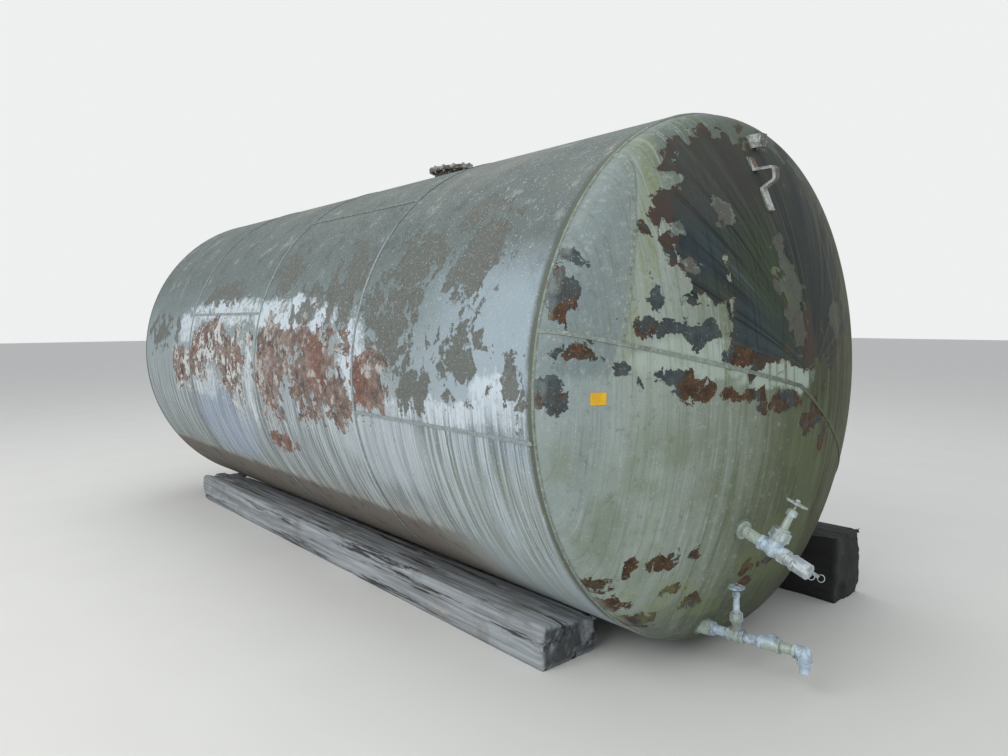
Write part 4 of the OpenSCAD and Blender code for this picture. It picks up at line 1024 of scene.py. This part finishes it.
# The bare plate's left and right edges, its lower and upper edges from the axis, and its face above the head
LABEL_X, LABEL_Z, LABEL_T = (-1.077, -1.020), (-0.022, 0.024), 0.0014
plate_on_head("bare_label_plate", *LABEL_X, *LABEL_Z, LABEL_T)


# How far in from its ends a timber is broken, and from its upper edges worn, in metres
BROKEN_END, WORN_EDGE = 0.3, 0.06


def worn_depth(spot, low, high, shift):
    """How deep the weather has eaten into a timber at a point: grain, checks, broken ends and worn edges."""
    grain = noise.noise(Vector((spot.x * 38, spot.y * 1.6, spot.z * 38)) + shift)
    check = abs(noise.noise(Vector((spot.x * 16, spot.y * 0.8, spot.z * 16)) + shift * 2))
    chip = max(noise.noise(Vector((spot.x * 9, spot.y * 3, spot.z * 9)) + shift * 3), 0)
    from_end = min(spot.y - low.y, high.y - spot.y)
    from_edge = math.hypot(min(spot.x - low.x, high.x - spot.x), high.z - spot.z)
    rough_end = max(1 - from_end / BROKEN_END, 0)
    wane = max(1 - from_edge / WORN_EDGE, 0)
    split = max(1 - check / 0.06, 0)
    return 0.003 + 0.003 * grain + 0.006 * split + rough_end * chip * 0.05 + wane * (0.006 + chip * 0.03)


def timber_piece(name, node, seed):
    """Sawn timber grown from its CAD outline: rough faces, checks along the grain and broken ends."""
    low, high = (Vector(c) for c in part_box(node))
    made = bpy.data.objects.new(name, frame["nodes"][node].data.copy())
    bpy.context.scene.collection.objects.link(made)
    weld = made.modifiers.new("joined", "WELD")
    weld.merge_threshold = 0.0002
    cells = made.modifiers.new("even_faces", "REMESH")
    cells.mode = "VOXEL"
    cells.voxel_size = 0.018
    graph = bpy.context.evaluated_depsgraph_get()
    mesh = bpy.data.meshes.new_from_object(made.evaluated_get(graph))
    bpy.data.objects.remove(made)
    shift = Vector((seed * 7.3, 0, seed * 3.1))
    for corner in mesh.vertices:
        spot = corner.co.copy()
        worn = spot - corner.normal * worn_depth(spot, low, high, shift)
        if spot.z < low.z + 0.012:
            worn.z = low.z
        corner.co = Vector(min(max(v, a), b) for v, a, b in zip(worn, low, high))
    fresh = settle(name, mesh, TIMBER, "tank", True)
    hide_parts(node)


timber_piece("left_timber_weathered", "timber_left", 1)
timber_piece("right_timber_weathered", "timber_right", 2)


def lay_floor():
    """Plain pale floor under the tank."""
    f = Finish("plain_pale_floor", 0.9)
    coat = f.done(f.mix("d9d9d6", "dfdfdc", f.noise(2.0, 3.0, 0.5)))
    half = 60.0
    corners = [(-half, -half, 0), (half, -half, 0), (half, half, 0), (-half, half, 0)]
    mesh = bpy.data.meshes.new("studio_floor")
    mesh.from_pydata(corners, [], [(0, 1, 2, 3)])
    mesh.materials.append(coat)
    floor = bpy.data.objects.new("studio_floor", mesh)
    bpy.context.scene.collection.objects.link(floor)


def light_room():
    """Soft light from all round; the eye and shiny metal see a paler backdrop than the light has."""
    world = bpy.data.worlds.new("soft_room")
    world.use_nodes = True
    bpy.context.scene.world = world
    tree = world.node_tree
    room = tree.nodes["Background"]
    room.inputs["Color"].default_value = (0.93, 0.96, 1.0, 1.0)
    room.inputs["Strength"].default_value = 0.62
    seen = tree.nodes.new("ShaderNodeBackground")
    seen.inputs["Color"].default_value = (0.86, 0.87, 0.87, 1.0)
    rays = tree.nodes.new("ShaderNodeLightPath")
    either = tree.nodes.new("ShaderNodeMath")
    either.operation = "MAXIMUM"
    both = tree.nodes.new("ShaderNodeMixShader")
    tree.links.new(rays.outputs["Is Camera Ray"], either.inputs[0])
    tree.links.new(rays.outputs["Is Glossy Ray"], either.inputs[1])
    tree.links.new(either.outputs[0], both.inputs[0])
    tree.links.new(room.outputs[0], both.inputs[1])
    tree.links.new(seen.outputs[0], both.inputs[2])
    tree.links.new(both.outputs[0], tree.nodes["World Output"].inputs[0])


# Each lamp: place, the point it faces, width in metres and power in watts
LAMPS = {
    "left_softbox": ((-9.0, -1.5, 7.0), (0, 0, 1.0), 7.0, 520),
    "front_softbox": ((-3.0, -11.0, 6.0), (0, -2, 1.2), 6.0, 110),
    "top_softbox": ((2.0, 2.0, 10.0), (0, 0, 1.0), 8.0, 260),
}


def hang_lamps():
    """Three soft lamps round the tank."""
    for name, (spot, aim, wide, power) in LAMPS.items():
        lamp = bpy.data.lights.new(name, "AREA")
        lamp.energy, lamp.size, lamp.color = power, wide, (1.0, 0.985, 0.96)
        holder = bpy.data.objects.new(name, lamp)
        holder.location = spot
        holder.rotation_euler = (Vector(aim) - Vector(spot)).to_track_quat("-Z", "Y").to_euler()
        bpy.context.scene.collection.objects.link(holder)


# The photograph's camera: place in metres, turns in degrees, and lens in millimetres on a 36 mm sensor
CAMERA_SPOT = (-3.03176, -4.22273, 1.53463)
CAMERA_YAW, CAMERA_PITCH, CAMERA_ROLL = 41.163, -4.4947, -0.174
CAMERA_LENS = 25.929


def set_camera():
    """The camera at the photograph's place."""
    lens = bpy.data.cameras.new("photo_camera")
    lens.sensor_width, lens.lens, lens.clip_end = 36, CAMERA_LENS, 200
    view = bpy.data.objects.new("photo_camera", lens)
    yaw, pitch, roll = (math.radians(a) for a in (CAMERA_YAW, CAMERA_PITCH, CAMERA_ROLL))
    ahead = Vector((math.sin(yaw) * math.cos(pitch), math.cos(yaw) * math.cos(pitch), math.sin(pitch)))
    right = Vector((math.cos(yaw), -math.sin(yaw), 0))
    above = right.cross(ahead)
    across = right * math.cos(roll) + above * math.sin(roll)
    up = above * math.cos(roll) - right * math.sin(roll)
    turn = Matrix((across, up, -ahead)).transposed().to_4x4()
    view.matrix_world = moved(*CAMERA_SPOT) @ turn
    bpy.context.scene.collection.objects.link(view)
    bpy.context.scene.camera = view


lay_floor()
light_room()
hang_lamps()
set_camera()
bpy.context.scene.view_settings.view_transform = "Standard"
